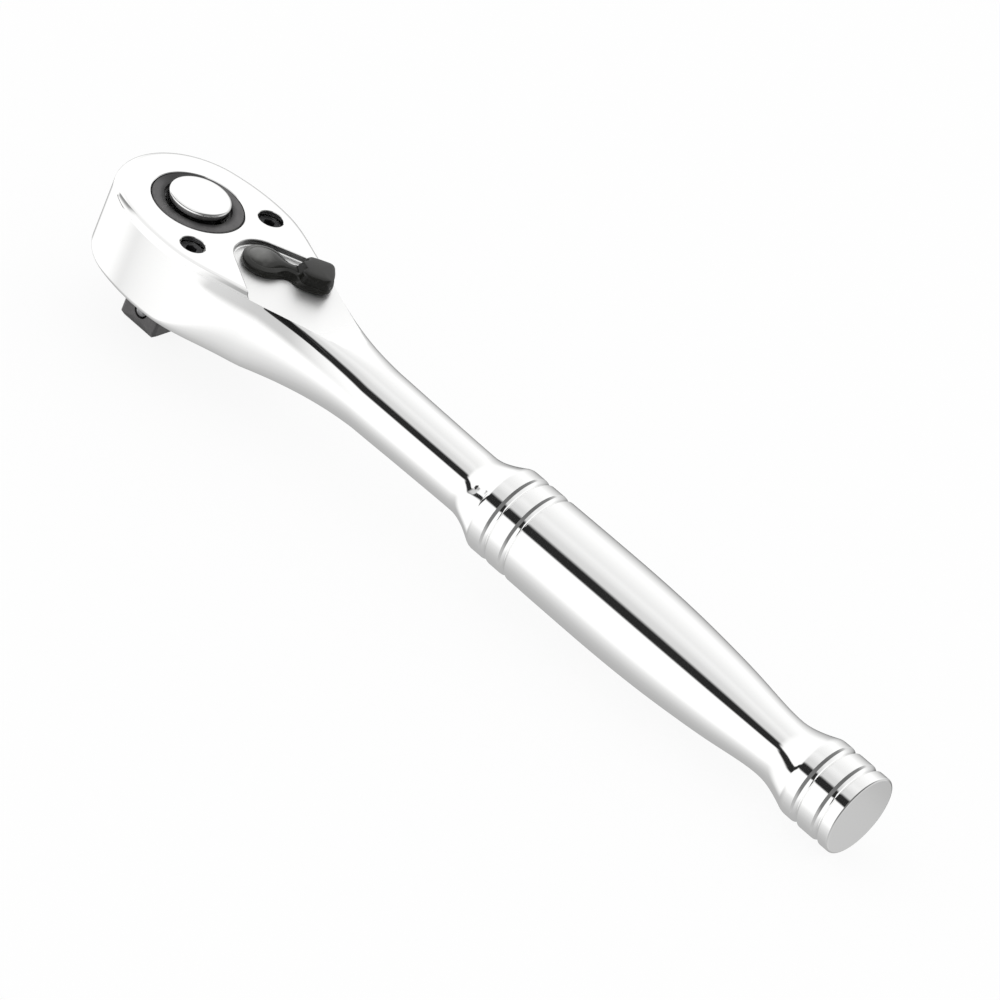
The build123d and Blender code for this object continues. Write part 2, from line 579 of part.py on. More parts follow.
# ---------------------------------------------------------------- release button
# Cup with a flange under the retaining ring and a boss that holds the plunger's spigot.
BUTTON_TOP = HEAD_TOP + BUTTON_PROUD
FLANGE_TOP = RETAINER_TOP - RETAINER_THICKNESS - SLIDE_FIT
FLANGE_BASE = FLANGE_TOP - BUTTON_FLANGE_LENGTH
BOSS_BASE = FLANGE_BASE + BUTTON_BOSS_SETBACK
ROOF_BASE = BUTTON_TOP - BUTTON_ROOF
with BuildPart() as release_button:
    with BuildSketch(Plane.XZ):
        with BuildLine():
            Polyline(
                (SPIGOT_RADIUS + THREAD_FIT, BOSS_BASE),
                (BOSS_RADIUS, BOSS_BASE),
                (BOSS_RADIUS, ROOF_BASE),
                (BUTTON_CUP_RADIUS, ROOF_BASE),
                (BUTTON_CUP_RADIUS, FLANGE_BASE),
                (BUTTON_FLANGE_RADIUS, FLANGE_BASE),
                (BUTTON_FLANGE_RADIUS, FLANGE_TOP),
                (BUTTON_RADIUS, FLANGE_TOP),
                (BUTTON_RADIUS, BUTTON_TOP - BUTTON_EDGE),
            )
            ThreePointArc(
                (BUTTON_RADIUS, BUTTON_TOP - BUTTON_EDGE),
                (BUTTON_RADIUS - BEND * BUTTON_EDGE, BUTTON_TOP - BEND * BUTTON_EDGE),
                (BUTTON_RADIUS - BUTTON_EDGE, BUTTON_TOP),
            )
            Polyline(
                (BUTTON_RADIUS - BUTTON_EDGE, BUTTON_TOP),
                (0, BUTTON_TOP),
                (0, BUTTON_TOP - BUTTON_ROOF / 2),
                (SPIGOT_RADIUS + THREAD_FIT, BUTTON_TOP - BUTTON_ROOF / 2),
                (SPIGOT_RADIUS + THREAD_FIT, BOSS_BASE),
            )
        make_face()
    revolve(axis=Axis.Z)
release_button.part.label = "release_button"
export_step(release_button.part, "parts/release_button.step")

# ---------------------------------------------------------------- release plunger
# Rod whose cone lets the ball sink when the button is pressed.
GROOVE_RADIUS = ROD_RADIUS - BALL_RETRACT
CONE_END_Z = BUTTON_TRAVEL - BALL_DROP
GROOVE_END_Z = CONE_END_Z + BALL_RADIUS + LOOSE_FIT
with BuildPart() as release_plunger:
    with BuildSketch(Plane.XZ):
        with BuildLine():
            Polyline(
                (0, ROD_END_Z),
                (ROD_RADIUS - ROD_CHAMFER, ROD_END_Z),
                (ROD_RADIUS, ROD_END_Z + ROD_CHAMFER),
                (ROD_RADIUS, -BALL_DROP),
                (GROOVE_RADIUS, CONE_END_Z),
                (GROOVE_RADIUS, GROOVE_END_Z),
                (ROD_RADIUS, GROOVE_END_Z),
                (ROD_RADIUS, BOSS_BASE),
                (SPIGOT_RADIUS, BOSS_BASE),
                (SPIGOT_RADIUS, BUTTON_TOP - BUTTON_ROOF / 2 - LOOSE_FIT),
                (0, BUTTON_TOP - BUTTON_ROOF / 2 - LOOSE_FIT),
                (0, ROD_END_Z),
            )
        make_face()
    revolve(axis=Axis.Z)
release_plunger.part.label = "release_plunger"
export_step(release_plunger.part, "parts/release_plunger.step")

# ---------------------------------------------------------------- release spring
# Coil spring round the plunger, from the well's floor to the button's roof.
with BuildPart() as release_spring:
    SPRING_BASE = BUTTON_WELL_FLOOR + RELEASE_WIRE_RADIUS + SLIDE_FIT
    SPRING_LENGTH = ROOF_BASE - SLIDE_FIT - RELEASE_WIRE_RADIUS - SPRING_BASE
    with BuildLine() as release_coil:
        Helix(
            pitch=SPRING_LENGTH / RELEASE_SPRING_TURNS,
            height=SPRING_LENGTH,
            radius=RELEASE_SPRING_RADIUS,
            center=(0, 0, SPRING_BASE),
        )
    with BuildSketch(Plane(origin=release_coil.line @ 0, z_dir=release_coil.line % 0)):
        Circle(RELEASE_WIRE_RADIUS)
    sweep(path=release_coil.line, is_frenet=True)
release_spring.part.label = "release_spring"
export_step(release_spring.part, "parts/release_spring.step")

# ---------------------------------------------------------------- detent ball
# Ball in the square's cross bore, held out by the plunger.
BALL_OUT = ROD_RADIUS + (BALL_RADIUS + SLIDE_FIT) / cos(asin(BALL_RETRACT / CONE_SLANT))
with BuildPart() as detent_ball:
    with Locations((0, -BALL_OUT, -BALL_DROP)):
        Sphere(BALL_RADIUS)
detent_ball.part.label = "detent_ball"
export_step(detent_ball.part, "parts/detent_ball.step")

# ---------------------------------------------------------------- pawl
# Rocker on the spindle with three teeth on each wing. It is drawn level, and then rocked
# to the side that the lever holds it on.
PAWL_FRONT_RADIUS = GEAR_RADIUS + PAWL_FRONT_GAP
PAWL_TIP_RADIUS = GEAR_RADIUS - TOOTH_DEPTH + MESH_FIT
WING_FRONT_X = PAWL_TIP_RADIUS * cos(radians(PAWL_WING_END))
PAWL_REAR_CORNER = turned(PAWL_REAR_RADIUS, 40, (LEVER_PIVOT_X, 0))
SHOULDER_X = LEVER_PIVOT_X - PAWL_SHOULDER_SETBACK
WING_FLANK = PAWL_HALF_WIDTH - PAWL_WING_STEP

with BuildSketch() as pawl_wing:
    # One wing as it stands in mesh: a hook in front of the gear, cut to its teeth
    with BuildLine():
        Polyline(
            turned(PAWL_TIP_RADIUS, PAWL_WING_END),
            (WING_FRONT_X + PAWL_WING_TIP, WING_FLANK),
            (SHOULDER_X, WING_FLANK),
            (SHOULDER_X, WING_FLANK / 2),
            turned(PAWL_TIP_RADIUS, PAWL_WING_START),
        )
        ThreePointArc(
            turned(PAWL_TIP_RADIUS, PAWL_WING_START),
            turned(PAWL_TIP_RADIUS, (PAWL_WING_START + PAWL_WING_END) / 2),
            turned(PAWL_TIP_RADIUS, PAWL_WING_END),
        )
    make_face()
    Polygon(
        *tooth_points(GEAR_RADIUS + MESH_FIT, GEAR_RADIUS - TOOTH_DEPTH + MESH_FIT),
        align=None,
        mode=Mode.SUBTRACT,
    )
level_wing = pawl_wing.sketch.rotate(PIVOT_AXIS, -PAWL_ROCK_ANGLE)
with BuildPart() as pawl:
    with BuildSketch(Plane.XY.offset(PAWL_BASE)):
        with BuildLine():
            Polyline(
                turned(PAWL_FRONT_RADIUS, PAWL_WING_START),
                (SHOULDER_X, PAWL_HALF_WIDTH),
                PAWL_REAR_CORNER,
            )
            ThreePointArc(
                PAWL_REAR_CORNER,
                (LEVER_PIVOT_X + PAWL_REAR_RADIUS, 0),
                mirrored(PAWL_REAR_CORNER),
            )
            Polyline(
                mirrored(PAWL_REAR_CORNER),
                (SHOULDER_X, -PAWL_HALF_WIDTH),
                turned(PAWL_FRONT_RADIUS, -PAWL_WING_START),
            )
            ThreePointArc(
                turned(PAWL_FRONT_RADIUS, -PAWL_WING_START),
                (PAWL_FRONT_RADIUS, 0),
                turned(PAWL_FRONT_RADIUS, PAWL_WING_START),
            )
        make_face()
        add(level_wing)
        add(mirror(level_wing, about=Plane.XZ, mode=Mode.PRIVATE))
        with Locations((LEVER_PIVOT_X, 0)):
            Circle(SPINDLE_RADIUS + RUNNING_FIT, mode=Mode.SUBTRACT)
    extrude(amount=PAWL_HEIGHT)
    # Fan-shaped slot behind the bore that the lever's detent sweeps
    with BuildSketch(Plane.XY.offset(DETENT_Z - DETENT_RADIUS - LOOSE_FIT)):
        with BuildLine():
            Line((LEVER_PIVOT_X, 0), turned(FAN_RADIUS, -FAN_ANGLE, (LEVER_PIVOT_X, 0)))
            ThreePointArc(
                turned(FAN_RADIUS, -FAN_ANGLE, (LEVER_PIVOT_X, 0)),
                (LEVER_PIVOT_X + FAN_RADIUS, 0),
                turned(FAN_RADIUS, FAN_ANGLE, (LEVER_PIVOT_X, 0)),
            )
            Line(turned(FAN_RADIUS, FAN_ANGLE, (LEVER_PIVOT_X, 0)), (LEVER_PIVOT_X, 0))
        make_face()
    extrude(amount=2 * (DETENT_RADIUS + LOOSE_FIT), mode=Mode.SUBTRACT)
pawl_at_rest = pawl.part.rotate(PIVOT_AXIS, PAWL_ROCK_ANGLE)
pawl_at_rest.label = "pawl"
export_step(pawl_at_rest, "parts/pawl.step")

# ---------------------------------------------------------------- reversing lever
# Cast lever that lies flat on its step: round hub, narrow waist and a broad, high thumb tab.
# It is drawn along the handle, and then thrown to one side.
LEVER_BASE = STEP_FLOOR + SLIDE_FIT
HUB_TOP = HEAD_TOP + LEVER_HUB_PROUD
TAB_TOP = HEAD_TOP + LEVER_TAB_PROUD
TAB_END_X = LEVER_PIVOT_X + LEVER_REACH
TAB_CORNER_X = TAB_END_X - LEVER_END_BULGE
TAB_START_X = LEVER_PIVOT_X + LEVER_TAB_START
HUB_TANGENT = turned(LEVER_HUB_RADIUS, LEVER_HUB_ARC, (LEVER_PIVOT_X, 0))
HUB_SLOPE = (sin(radians(LEVER_HUB_ARC)), -cos(radians(LEVER_HUB_ARC)))
LEVER_WAIST_X = LEVER_PIVOT_X + LEVER_WAIST_AT
RISE_START_X = LEVER_PIVOT_X + LEVER_HUB_RADIUS
LEVER_EDGE = [
    HUB_TANGENT,
    (LEVER_WAIST_X, LEVER_WAIST_HALF),
    (TAB_START_X, (LEVER_WAIST_HALF + LEVER_TAB_HALF) / 2),
    (TAB_CORNER_X - LEVER_END_BULGE, LEVER_TAB_HALF),
]
with BuildPart() as reversing_lever:
    # Outline seen from above
    with BuildSketch(Plane.XY.offset(LEVER_BASE)):
        with BuildLine():
            ThreePointArc(
                mirrored(HUB_TANGENT), (LEVER_PIVOT_X - LEVER_HUB_RADIUS, 0), HUB_TANGENT
            )
            Spline(*LEVER_EDGE, tangents=[HUB_SLOPE, (1, 0)])
            ThreePointArc(
                LEVER_EDGE[-1],
                (TAB_CORNER_X, LEVER_TAB_HALF - BEND * LEVER_END_BULGE),
                (TAB_CORNER_X + (1 - BEND) * LEVER_END_BULGE, LEVER_TAB_HALF - LEVER_END_BULGE),
            )
            ThreePointArc(
                (TAB_CORNER_X + (1 - BEND) * LEVER_END_BULGE, LEVER_TAB_HALF - LEVER_END_BULGE),
                (TAB_END_X, 0),
                (TAB_CORNER_X + (1 - BEND) * LEVER_END_BULGE, LEVER_END_BULGE - LEVER_TAB_HALF),
            )
            ThreePointArc(
                (TAB_CORNER_X + (1 - BEND) * LEVER_END_BULGE, LEVER_END_BULGE - LEVER_TAB_HALF),
                (TAB_CORNER_X, BEND * LEVER_END_BULGE - LEVER_TAB_HALF),
                mirrored(LEVER_EDGE[-1]),
            )
            Spline(
                *[mirrored(point) for point in reversed(LEVER_EDGE)],
                tangents=[(-1, 0), (-HUB_SLOPE[0], HUB_SLOPE[1])],
            )
        make_face()
    extrude(amount=TAB_TOP - LEVER_BASE + LEVER_TAB_CROWN)
    # Side view: flat underside, level hub, and an S-shaped rise to the crowned tab
    with BuildSketch(Plane.XZ):
        with BuildLine():
            Polyline(
                (LEVER_PIVOT_X - LEVER_HUB_RADIUS, HUB_TOP),
                (LEVER_PIVOT_X - LEVER_HUB_RADIUS, LEVER_BASE),
                (TAB_END_X, LEVER_BASE),
                (TAB_END_X, TAB_TOP - LEVER_TAB_CROWN),
            )
            ThreePointArc(
                (TAB_END_X, TAB_TOP - LEVER_TAB_CROWN),
                ((TAB_END_X + TAB_START_X) / 2, TAB_TOP + LEVER_TAB_CROWN / 4),
                (TAB_START_X, TAB_TOP),
            )
            Spline(
                (TAB_START_X, TAB_TOP),
                (RISE_START_X, HUB_TOP),
                tangents=[(-1, -0.3), (-1, 0)],
            )
            Line(
                (RISE_START_X, HUB_TOP),
                (LEVER_PIVOT_X - LEVER_HUB_RADIUS, HUB_TOP),
            )
        make_face()
    extrude(amount=2 * LEVER_HUB_RADIUS, both=True, mode=Mode.INTERSECT)
    with Locations((LEVER_PIVOT_X, 0, LEVER_BASE)):
        Cylinder(
            LEVER_SOCKET_RADIUS + THREAD_FIT,
            LEVER_SOCKET_DEPTH,
            align=(Align.CENTER, Align.CENTER, Align.MIN),
            mode=Mode.SUBTRACT,
        )
    rim = reversing_lever.edges().filter_by(lambda edge: edge.center().Z > HUB_TOP - LOOSE_FIT)
    rim = rim.filter_by(Axis.Y, reverse=True).filter_by(Axis.Z, reverse=True)
    fillet(rim, radius=LEVER_EDGE_ROUND)
thrown_lever = reversing_lever.part.rotate(PIVOT_AXIS, LEVER_REST_ANGLE)
thrown_lever.label = "reversing_lever"
export_step(thrown_lever, "parts/reversing_lever.step")

# ---------------------------------------------------------------- lever spindle
# Steel pin pressed into the lever: seal groove, clip groove, cross hole and foot.
with BuildPart() as lever_spindle:
    with BuildSketch(Plane.XZ):
        with BuildLine():
            Polyline(
                (0, FOOT_BASE),
                (SPINDLE_FOOT_RADIUS, FOOT_BASE),
                (SPINDLE_FOOT_RADIUS, SPINDLE_BASE),
                (SPINDLE_RADIUS, SPINDLE_BASE),
                (SPINDLE_RADIUS, CLIP_BASE - SLIDE_FIT),
                (CLIP_GROOVE_RADIUS, CLIP_BASE - SLIDE_FIT),
                (CLIP_GROOVE_RADIUS, CLIP_BASE + CLIP_THICKNESS + SLIDE_FIT),
                (SPINDLE_RADIUS, CLIP_BASE + CLIP_THICKNESS + SLIDE_FIT),
                (SPINDLE_RADIUS, RING_Z - RING_WIRE_RADIUS - SLIDE_FIT),
                (RING_GROOVE_RADIUS, RING_Z - RING_WIRE_RADIUS - SLIDE_FIT),
                (RING_GROOVE_RADIUS, RING_Z + RING_WIRE_RADIUS + SLIDE_FIT),
                (SPINDLE_RADIUS, RING_Z + RING_WIRE_RADIUS + SLIDE_FIT),
                (SPINDLE_RADIUS, LEVER_BASE),
                (LEVER_SOCKET_RADIUS, LEVER_BASE),
                (LEVER_SOCKET_RADIUS, LEVER_BASE + LEVER_SOCKET_DEPTH - LOOSE_FIT),
                (0, LEVER_BASE + LEVER_SOCKET_DEPTH - LOOSE_FIT),
                (0, FOOT_BASE),
            )
        make_face()
    revolve(axis=Axis.Z)
    with BuildSketch(Plane.YZ.offset(-DETENT_HOLE_DEPTH)):
        with Locations((0, DETENT_Z)):
            Circle(DETENT_RADIUS + SLIDE_FIT)
    extrude(amount=2 * SPINDLE_RADIUS, mode=Mode.SUBTRACT)
spindle_at_rest = Pos(LEVER_PIVOT_X, 0, 0) * Rot(0, 0, LEVER_REST_ANGLE) * lever_spindle.part
spindle_at_rest.label = "lever_spindle"
export_step(spindle_at_rest, "parts/lever_spindle.step")

# ---------------------------------------------------------------- lever seal ring
# Rubber ring in the spindle's upper groove.
with BuildPart() as lever_seal:
    with Locations((LEVER_PIVOT_X, 0, RING_Z)):
        Torus(SPINDLE_RADIUS + RUNNING_FIT / 2 - RING_WIRE_RADIUS, RING_WIRE_RADIUS)
lever_seal.part.label = "lever_seal"
export_step(lever_seal.part, "parts/lever_seal.step")

# ---------------------------------------------------------------- lever retaining clip
# Open clip in the spindle's lower groove, under the roof of the pawl pocket.
with BuildPart() as lever_clip:
    with BuildSketch(Plane.XY.offset(CLIP_BASE)):
        with Locations((LEVER_PIVOT_X, 0)):
            Circle(CLIP_RADIUS)
            Circle(CLIP_GROOVE_RADIUS + SLIDE_FIT, mode=Mode.SUBTRACT)
        with Locations((LEVER_PIVOT_X, 0)):
            Rectangle(
                2 * CLIP_RADIUS,
                CLIP_MOUTH,
                align=(Align.MIN, Align.CENTER),
                mode=Mode.SUBTRACT,
            )
    extrude(amount=CLIP_THICKNESS)
lever_clip.part.label = "lever_clip"
export_step(lever_clip.part, "parts/lever_clip.step")

# ---------------------------------------------------------------- lever detent
# Round-nosed pin and its spring in the spindle's cross hole, which push the pawl over.
with BuildPart() as detent_pin:
    with BuildSketch(Plane.XY.offset(DETENT_Z)):
        with BuildLine():
            Polyline(
                (DETENT_REACH - DETENT_RADIUS, DETENT_RADIUS),
                (DETENT_TAIL, DETENT_RADIUS),
                (DETENT_TAIL, 0),
                (DETENT_REACH, 0),
            )
            RadiusArc(
                (DETENT_REACH, 0),
                (DETENT_REACH - DETENT_RADIUS, DETENT_RADIUS),
                -DETENT_RADIUS,
            )
        make_face()
    revolve(axis=Axis((0, 0, DETENT_Z), (1, 0, 0)))
pin_at_rest = Pos(LEVER_PIVOT_X, 0, 0) * Rot(0, 0, LEVER_REST_ANGLE) * detent_pin.part
pin_at_rest.label = "lever_detent_pin"
export_step(pin_at_rest, "parts/lever_detent_pin.step")

with BuildPart() as detent_spring:
    DETENT_SPRING_START = -DETENT_HOLE_DEPTH + DETENT_WIRE_RADIUS + SLIDE_FIT
    DETENT_SPRING_LENGTH = DETENT_TAIL - DETENT_WIRE_RADIUS - SLIDE_FIT - DETENT_SPRING_START
    with BuildLine() as detent_coil:
        Helix(
            pitch=DETENT_SPRING_LENGTH / DETENT_SPRING_TURNS,
            height=DETENT_SPRING_LENGTH,
            radius=DETENT_RADIUS - DETENT_WIRE_RADIUS - SLIDE_FIT,
            center=(DETENT_SPRING_START, 0, DETENT_Z),
            direction=(1, 0, 0),
        )
    with BuildSketch(Plane(origin=detent_coil.line @ 0, z_dir=detent_coil.line % 0)):
        Circle(DETENT_WIRE_RADIUS)
    sweep(path=detent_coil.line, is_frenet=True)
spring_at_rest = Pos(LEVER_PIVOT_X, 0, 0) * Rot(0, 0, LEVER_REST_ANGLE) * detent_spring.part
spring_at_rest.label = "lever_detent_spring"
export_step(spring_at_rest, "parts/lever_detent_spring.step")
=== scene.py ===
import math

import bmesh
import bpy
from mathutils import Matrix, Vector


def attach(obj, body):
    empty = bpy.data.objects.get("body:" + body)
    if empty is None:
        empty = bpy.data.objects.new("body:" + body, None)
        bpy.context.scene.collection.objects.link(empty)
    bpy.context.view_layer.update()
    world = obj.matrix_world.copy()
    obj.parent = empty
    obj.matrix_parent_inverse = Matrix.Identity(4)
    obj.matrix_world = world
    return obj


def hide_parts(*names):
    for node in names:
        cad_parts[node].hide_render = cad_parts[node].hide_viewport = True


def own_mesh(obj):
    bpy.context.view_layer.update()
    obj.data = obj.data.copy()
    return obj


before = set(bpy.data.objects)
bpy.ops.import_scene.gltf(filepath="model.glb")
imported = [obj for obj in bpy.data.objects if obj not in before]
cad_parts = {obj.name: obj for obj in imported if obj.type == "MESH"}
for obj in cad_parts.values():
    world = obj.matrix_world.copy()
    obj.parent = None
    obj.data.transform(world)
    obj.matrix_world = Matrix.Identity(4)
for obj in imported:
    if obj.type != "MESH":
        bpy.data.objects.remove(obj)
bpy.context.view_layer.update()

# ------------------------------------------------------------------ camera
# A long lens from above the handle's end, on the side away from the thrown lever, rolled
# so that the tool lies from the upper left to the lower right.
camera = bpy.data.objects.new("camera", bpy.data.cameras.new("camera"))
bpy.context.scene.collection.objects.link(camera)
camera.location = (0.66122, -1.02963, 0.78846)
camera.rotation_euler = [math.radians(a) for a in (54.2464, -19.5389, 42.6792)]
camera.data.sensor_width = 36.0
camera.data.lens = 270.0
camera.data.clip_start = 0.05
camera.data.clip_end = 20.0
bpy.context.scene.camera = camera
bpy.context.scene.view_settings.view_transform = "Standard"

# ------------------------------------------------------------------ studio
# White room with grey and black panels round the tool, which chrome needs to be seen
# against. They show only in what is polished; the rest, and the camera, sees plain white.
HANDLE_VIEW = 143.1         # degrees from +Y up to +Z, where the handle's middle line faces
PANEL_STRENGTH = 1.12
NOSE_WALL = (-0.74, -0.60)  # how far along the handle a reflection points where the wall
END_WALL = (0.26, 0.40)     # beyond the nose gives way, and the one beyond the end begins
LINE_HEIGHT = 0.03          # black line on the wall beyond the nose, level up to its bend
LINE_BEND = 0.43
LINE_SLOPE = 2.2
LINE_EDGE = (0.07, 0.13)    # off its middle, where it fades out
LINE_START = (0.12, 0.18)
LINE_FOOT = (-0.10, -0.05)
LINE_WIDENS = (0.41, 0.47)
LINE_GROWTH = 1.3
LINE_DARKNESS = 0.98


class Socket:
    """An output of a shader node that takes part in Python sums."""

    def __init__(self, tree, output):
        self.tree, self.output = tree, output

    def maths(self, operation, *others):
        node = self.tree.nodes.new("ShaderNodeMath")
        node.operation = operation
        for slot, value in zip(node.inputs, (self, *others)):
            feed(self.tree, slot, value)
        return Socket(self.tree, node.outputs[0])

    def __add__(self, other):
        return self.maths("ADD", other)

    def __radd__(self, other):
        return self.maths("ADD", other)

    def __sub__(self, other):
        return self.maths("SUBTRACT", other)

    def __rsub__(self, other):
        return (self * -1.0).maths("ADD", other)

    def __mul__(self, other):
        return self.maths("MULTIPLY", other)

    def __rmul__(self, other):
        return self.maths("MULTIPLY", other)

    def __truediv__(self, other):
        return self.maths("DIVIDE", other)

    def __pow__(self, other):
        return self.maths("POWER", other)


def feed(tree, slot, value):
    """Joins a link to a node's input, or sets its number."""
    if isinstance(value, Socket):
        tree.links.new(value.output, slot)
    else:
        slot.default_value = value


def shade(tone):
    """A grey level, or three levels, as a colour with alpha."""
    return (tone, tone, tone, 1.0) if isinstance(tone, float) else (*tone, 1.0)


class Shader:
    """A node tree being filled in: add() makes any node and returns its outputs."""

    def __init__(self, tree):
        self.tree = tree
        tree.nodes.clear()

    def add(self, kind, settings=None, stops=None, **values):
        node = self.tree.nodes.new("ShaderNode" + kind)
        for name, value in (settings or {}).items():
            setattr(node, name, value)
        if stops:
            ramp = node.color_ramp
            while len(ramp.elements) > 1:
                ramp.elements.remove(ramp.elements[0])
            ramp.elements[0].position = stops[0][0]
            ramp.elements[0].color = shade(stops[0][1])
            for place, tone in stops[1:]:
                ramp.elements.new(place).color = shade(tone)
        for name, value in values.items():
            feed(self.tree, node.inputs[name.replace("_", " ")], value)
        return {out.name: Socket(self.tree, out) for out in node.outputs}


def grade(shader, value, *stops):
    """Turns a number into a colour along a row of stops."""
    return shader.add("ValToRGB", stops=stops, Fac=value)["Color"]


def fade(shader, value, start, end):
    """0 up to start, 1 past end, smooth between them."""
    smooth = {"interpolation_type": "SMOOTHSTEP"}
    return shader.add("MapRange", smooth, Value=value, From_Min=start, From_Max=end)["Result"]


def band(shader, value, start, full, fading, gone):
    """0 up to start, 1 from full to fading, and 0 again past gone."""
    return fade(shader, value, start, full) * (1.0 - fade(shader, value, fading, gone))


def blend(shader, share, under, over):
    """One surface where share is 0 and another where it is 1."""
    mixed = shader.add("MixShader", Fac=share)["Shader"]
    for slot, surface in zip(mixed.output.node.inputs[1:], (under, over)):
        feed(shader.tree, slot, surface)
    return mixed


def close(shader, result, kind="OutputMaterial"):
    """Joins a shader's result to the output of its material or world."""
    end = shader.tree.nodes.new("ShaderNode" + kind)
    shader.tree.links.new(result.output, end.inputs[0])


world = bpy.data.worlds.new("studio")
bpy.context.scene.world = world
world.use_nodes = True
room = Shader(world.node_tree)
facing = room.add("SeparateXYZ", Vector=room.add("TexCoord")["Generated"])
turn = facing["Z"].maths("ARCTAN2", facing["Y"]) * (180 / math.pi)
around = ((HANDLE_VIEW - turn).maths("WRAP", 180.0, -180.0) + 180.0) / 360.0


def wall(*levels):
    """Grey of the walls round the handle's axis, from (degrees, level) pairs."""
    return grade(room, around, *[((angle + 180.0) / 360.0, level) for angle, level in levels])


beside = wall(
    (-180.0, 0.40),
    (-157.0, 0.42),
    (-128.0, 0.46),
    (-109.0, 0.53),
    (-95.0, 0.64),
    (-82.0, 0.78),
    (-70.0, 1.0),
    (-9.5, 1.0),
    (-6.5, 0.02),
    (10.5, 0.02),
    (16.5, 0.66),
    (28.0, 0.69),
    (38.0, 0.80),
    (47.0, 0.87),
    (58.0, 0.83),
    (70.0, 0.88),
    (85.0, 0.95),
    (100.0, 1.0),
    (110.0, 1.0),
    (128.0, 0.76),
    (157.0, 0.41),
    (168.0, 0.20),
    (180.0, 0.12),
)
beyond_end = wall(
    (-180.0, 0.60),
    (-120.0, 0.50),
    (-80.0, 0.45),
    (-55.0, 0.20),
    (60.0, 0.14),
    (105.0, 0.22),
    (130.0, 0.62),
    (180.0, 0.62),
)
to_side = -1.0 * facing["Y"]
line_middle = ((to_side - LINE_BEND) * LINE_SLOPE).maths("MAXIMUM", LINE_HEIGHT)
line_size = fade(room, to_side, *LINE_WIDENS) * LINE_GROWTH + 1.0
off_line = (facing["Z"] - line_middle).maths("ABSOLUTE") / line_size
line = 1.0 - fade(room, off_line, *LINE_EDGE)
line = line * fade(room, to_side, *LINE_START) * fade(room, facing["Z"], *LINE_FOOT)
to_nose = 1.0 - fade(room, facing["X"], *NOSE_WALL)
to_end = fade(room, facing["X"], *END_WALL)
level = beside * (1.0 - to_end) + beyond_end * to_end
level = level * (1.0 - to_nose) + (1.0 - line * LINE_DARKNESS) * to_nose
white = room.add("Background", Color=shade(1.0), Strength=1.0)["Background"]
panels = room.add("Background", Color=level, Strength=PANEL_STRENGTH)["Background"]
close(room, blend(room, room.add("LightPath")["Is Glossy Ray"], white, panels), "OutputWorld")

# ------------------------------------------------------------------ clear sheet
# Clear sheet beside the tool with a pale card on it, close to the head, which keeps the
# black panel out of the head's near edge. The card's grey end shades the flank that runs
# out into the neck, and a strip of black tape leads into the panel.
AXIS_HEIGHT = 9.55                          # of the handle's middle line, mm
SHEET_DISTANCE = 25.0                       # from that line
SHEET_REACH = 600.0                         # from the sheet's middle to each edge
GREY_END = 48.0                             # along the handle, where the grey is palest again
CARD_ALONG = (-60.0, -59.0, 29.7, 30.9)     # start, full, fading and gone, mm
CARD_ACROSS = (-10.0, -8.0, 2.2, 3.0)
CREST = (-3.6, -2.8)                        # across: the card is darker over this line
CREST_ALONG = (18.0, 26.0)
SKIRT_ALONG = (16.0, 22.0, 36.0, 45.0)      # grey skirt that hangs below the crest
SKIRT_EDGE = (-23.0, -14.0)
PATCH_ALONG = (-58.0, -36.0, -16.0, -9.0)   # dark patch in front of the nose
PATCH_ACROSS = (-5.0, 4.0, 9.5, 11.5)
TAPE_START = (29.8, 33.3)
TAPE_END = (41.0, 43.0)
TAPE_WIDENS = (29.5, 33.5)
TAPE_NARROWS = (34.0, 42.0)
TAPE_TOP = (0.0, 0.6)
TAPE_TOP_MOVES = (4.4, 3.0)                 # out where it widens, back where it narrows
TAPE_FOOT = (-1.3, -0.7)
TAPE_FOOT_MOVES = (4.6, 2.4)


def built(name, form):
    """Turns mesh work into an object of the scene."""
    mesh = bpy.data.meshes.new(name)
    form.to_mesh(mesh)
    form.free()
    thing = bpy.data.objects.new(name, mesh)
    bpy.context.scene.collection.objects.link(thing)
    return thing


def new_finish(name):
    """An empty material and the shader that fills it in."""
    stuff = bpy.data.materials.new(name)
    stuff.use_nodes = True
    return stuff, Shader(stuff.node_tree)


tilt = math.radians(HANDLE_VIEW)
sheet_up = Vector((0.0, math.sin(tilt), -math.cos(tilt)))
sheet_out = Vector((0.0, math.cos(tilt), math.sin(tilt)))
sheet_middle = Vector((0.0, 0.0, AXIS_HEIGHT)) + sheet_out * SHEET_DISTANCE
form = bmesh.new()
corners = []
for x, up in ((-1, -1), (1, -1), (1, 1), (-1, 1)):
    corner = sheet_middle + (Vector((x, 0.0, 0.0)) + sheet_up * up) * SHEET_REACH
    corners.append(form.verts.new(corner / 1000))
form.faces.new(corners)
clear_sheet = built("bounce_card", form)
clear_sheet.visible_camera = False
clear_sheet.visible_diffuse = False
clear_sheet.visible_shadow = False
clear_sheet.visible_transmission = False

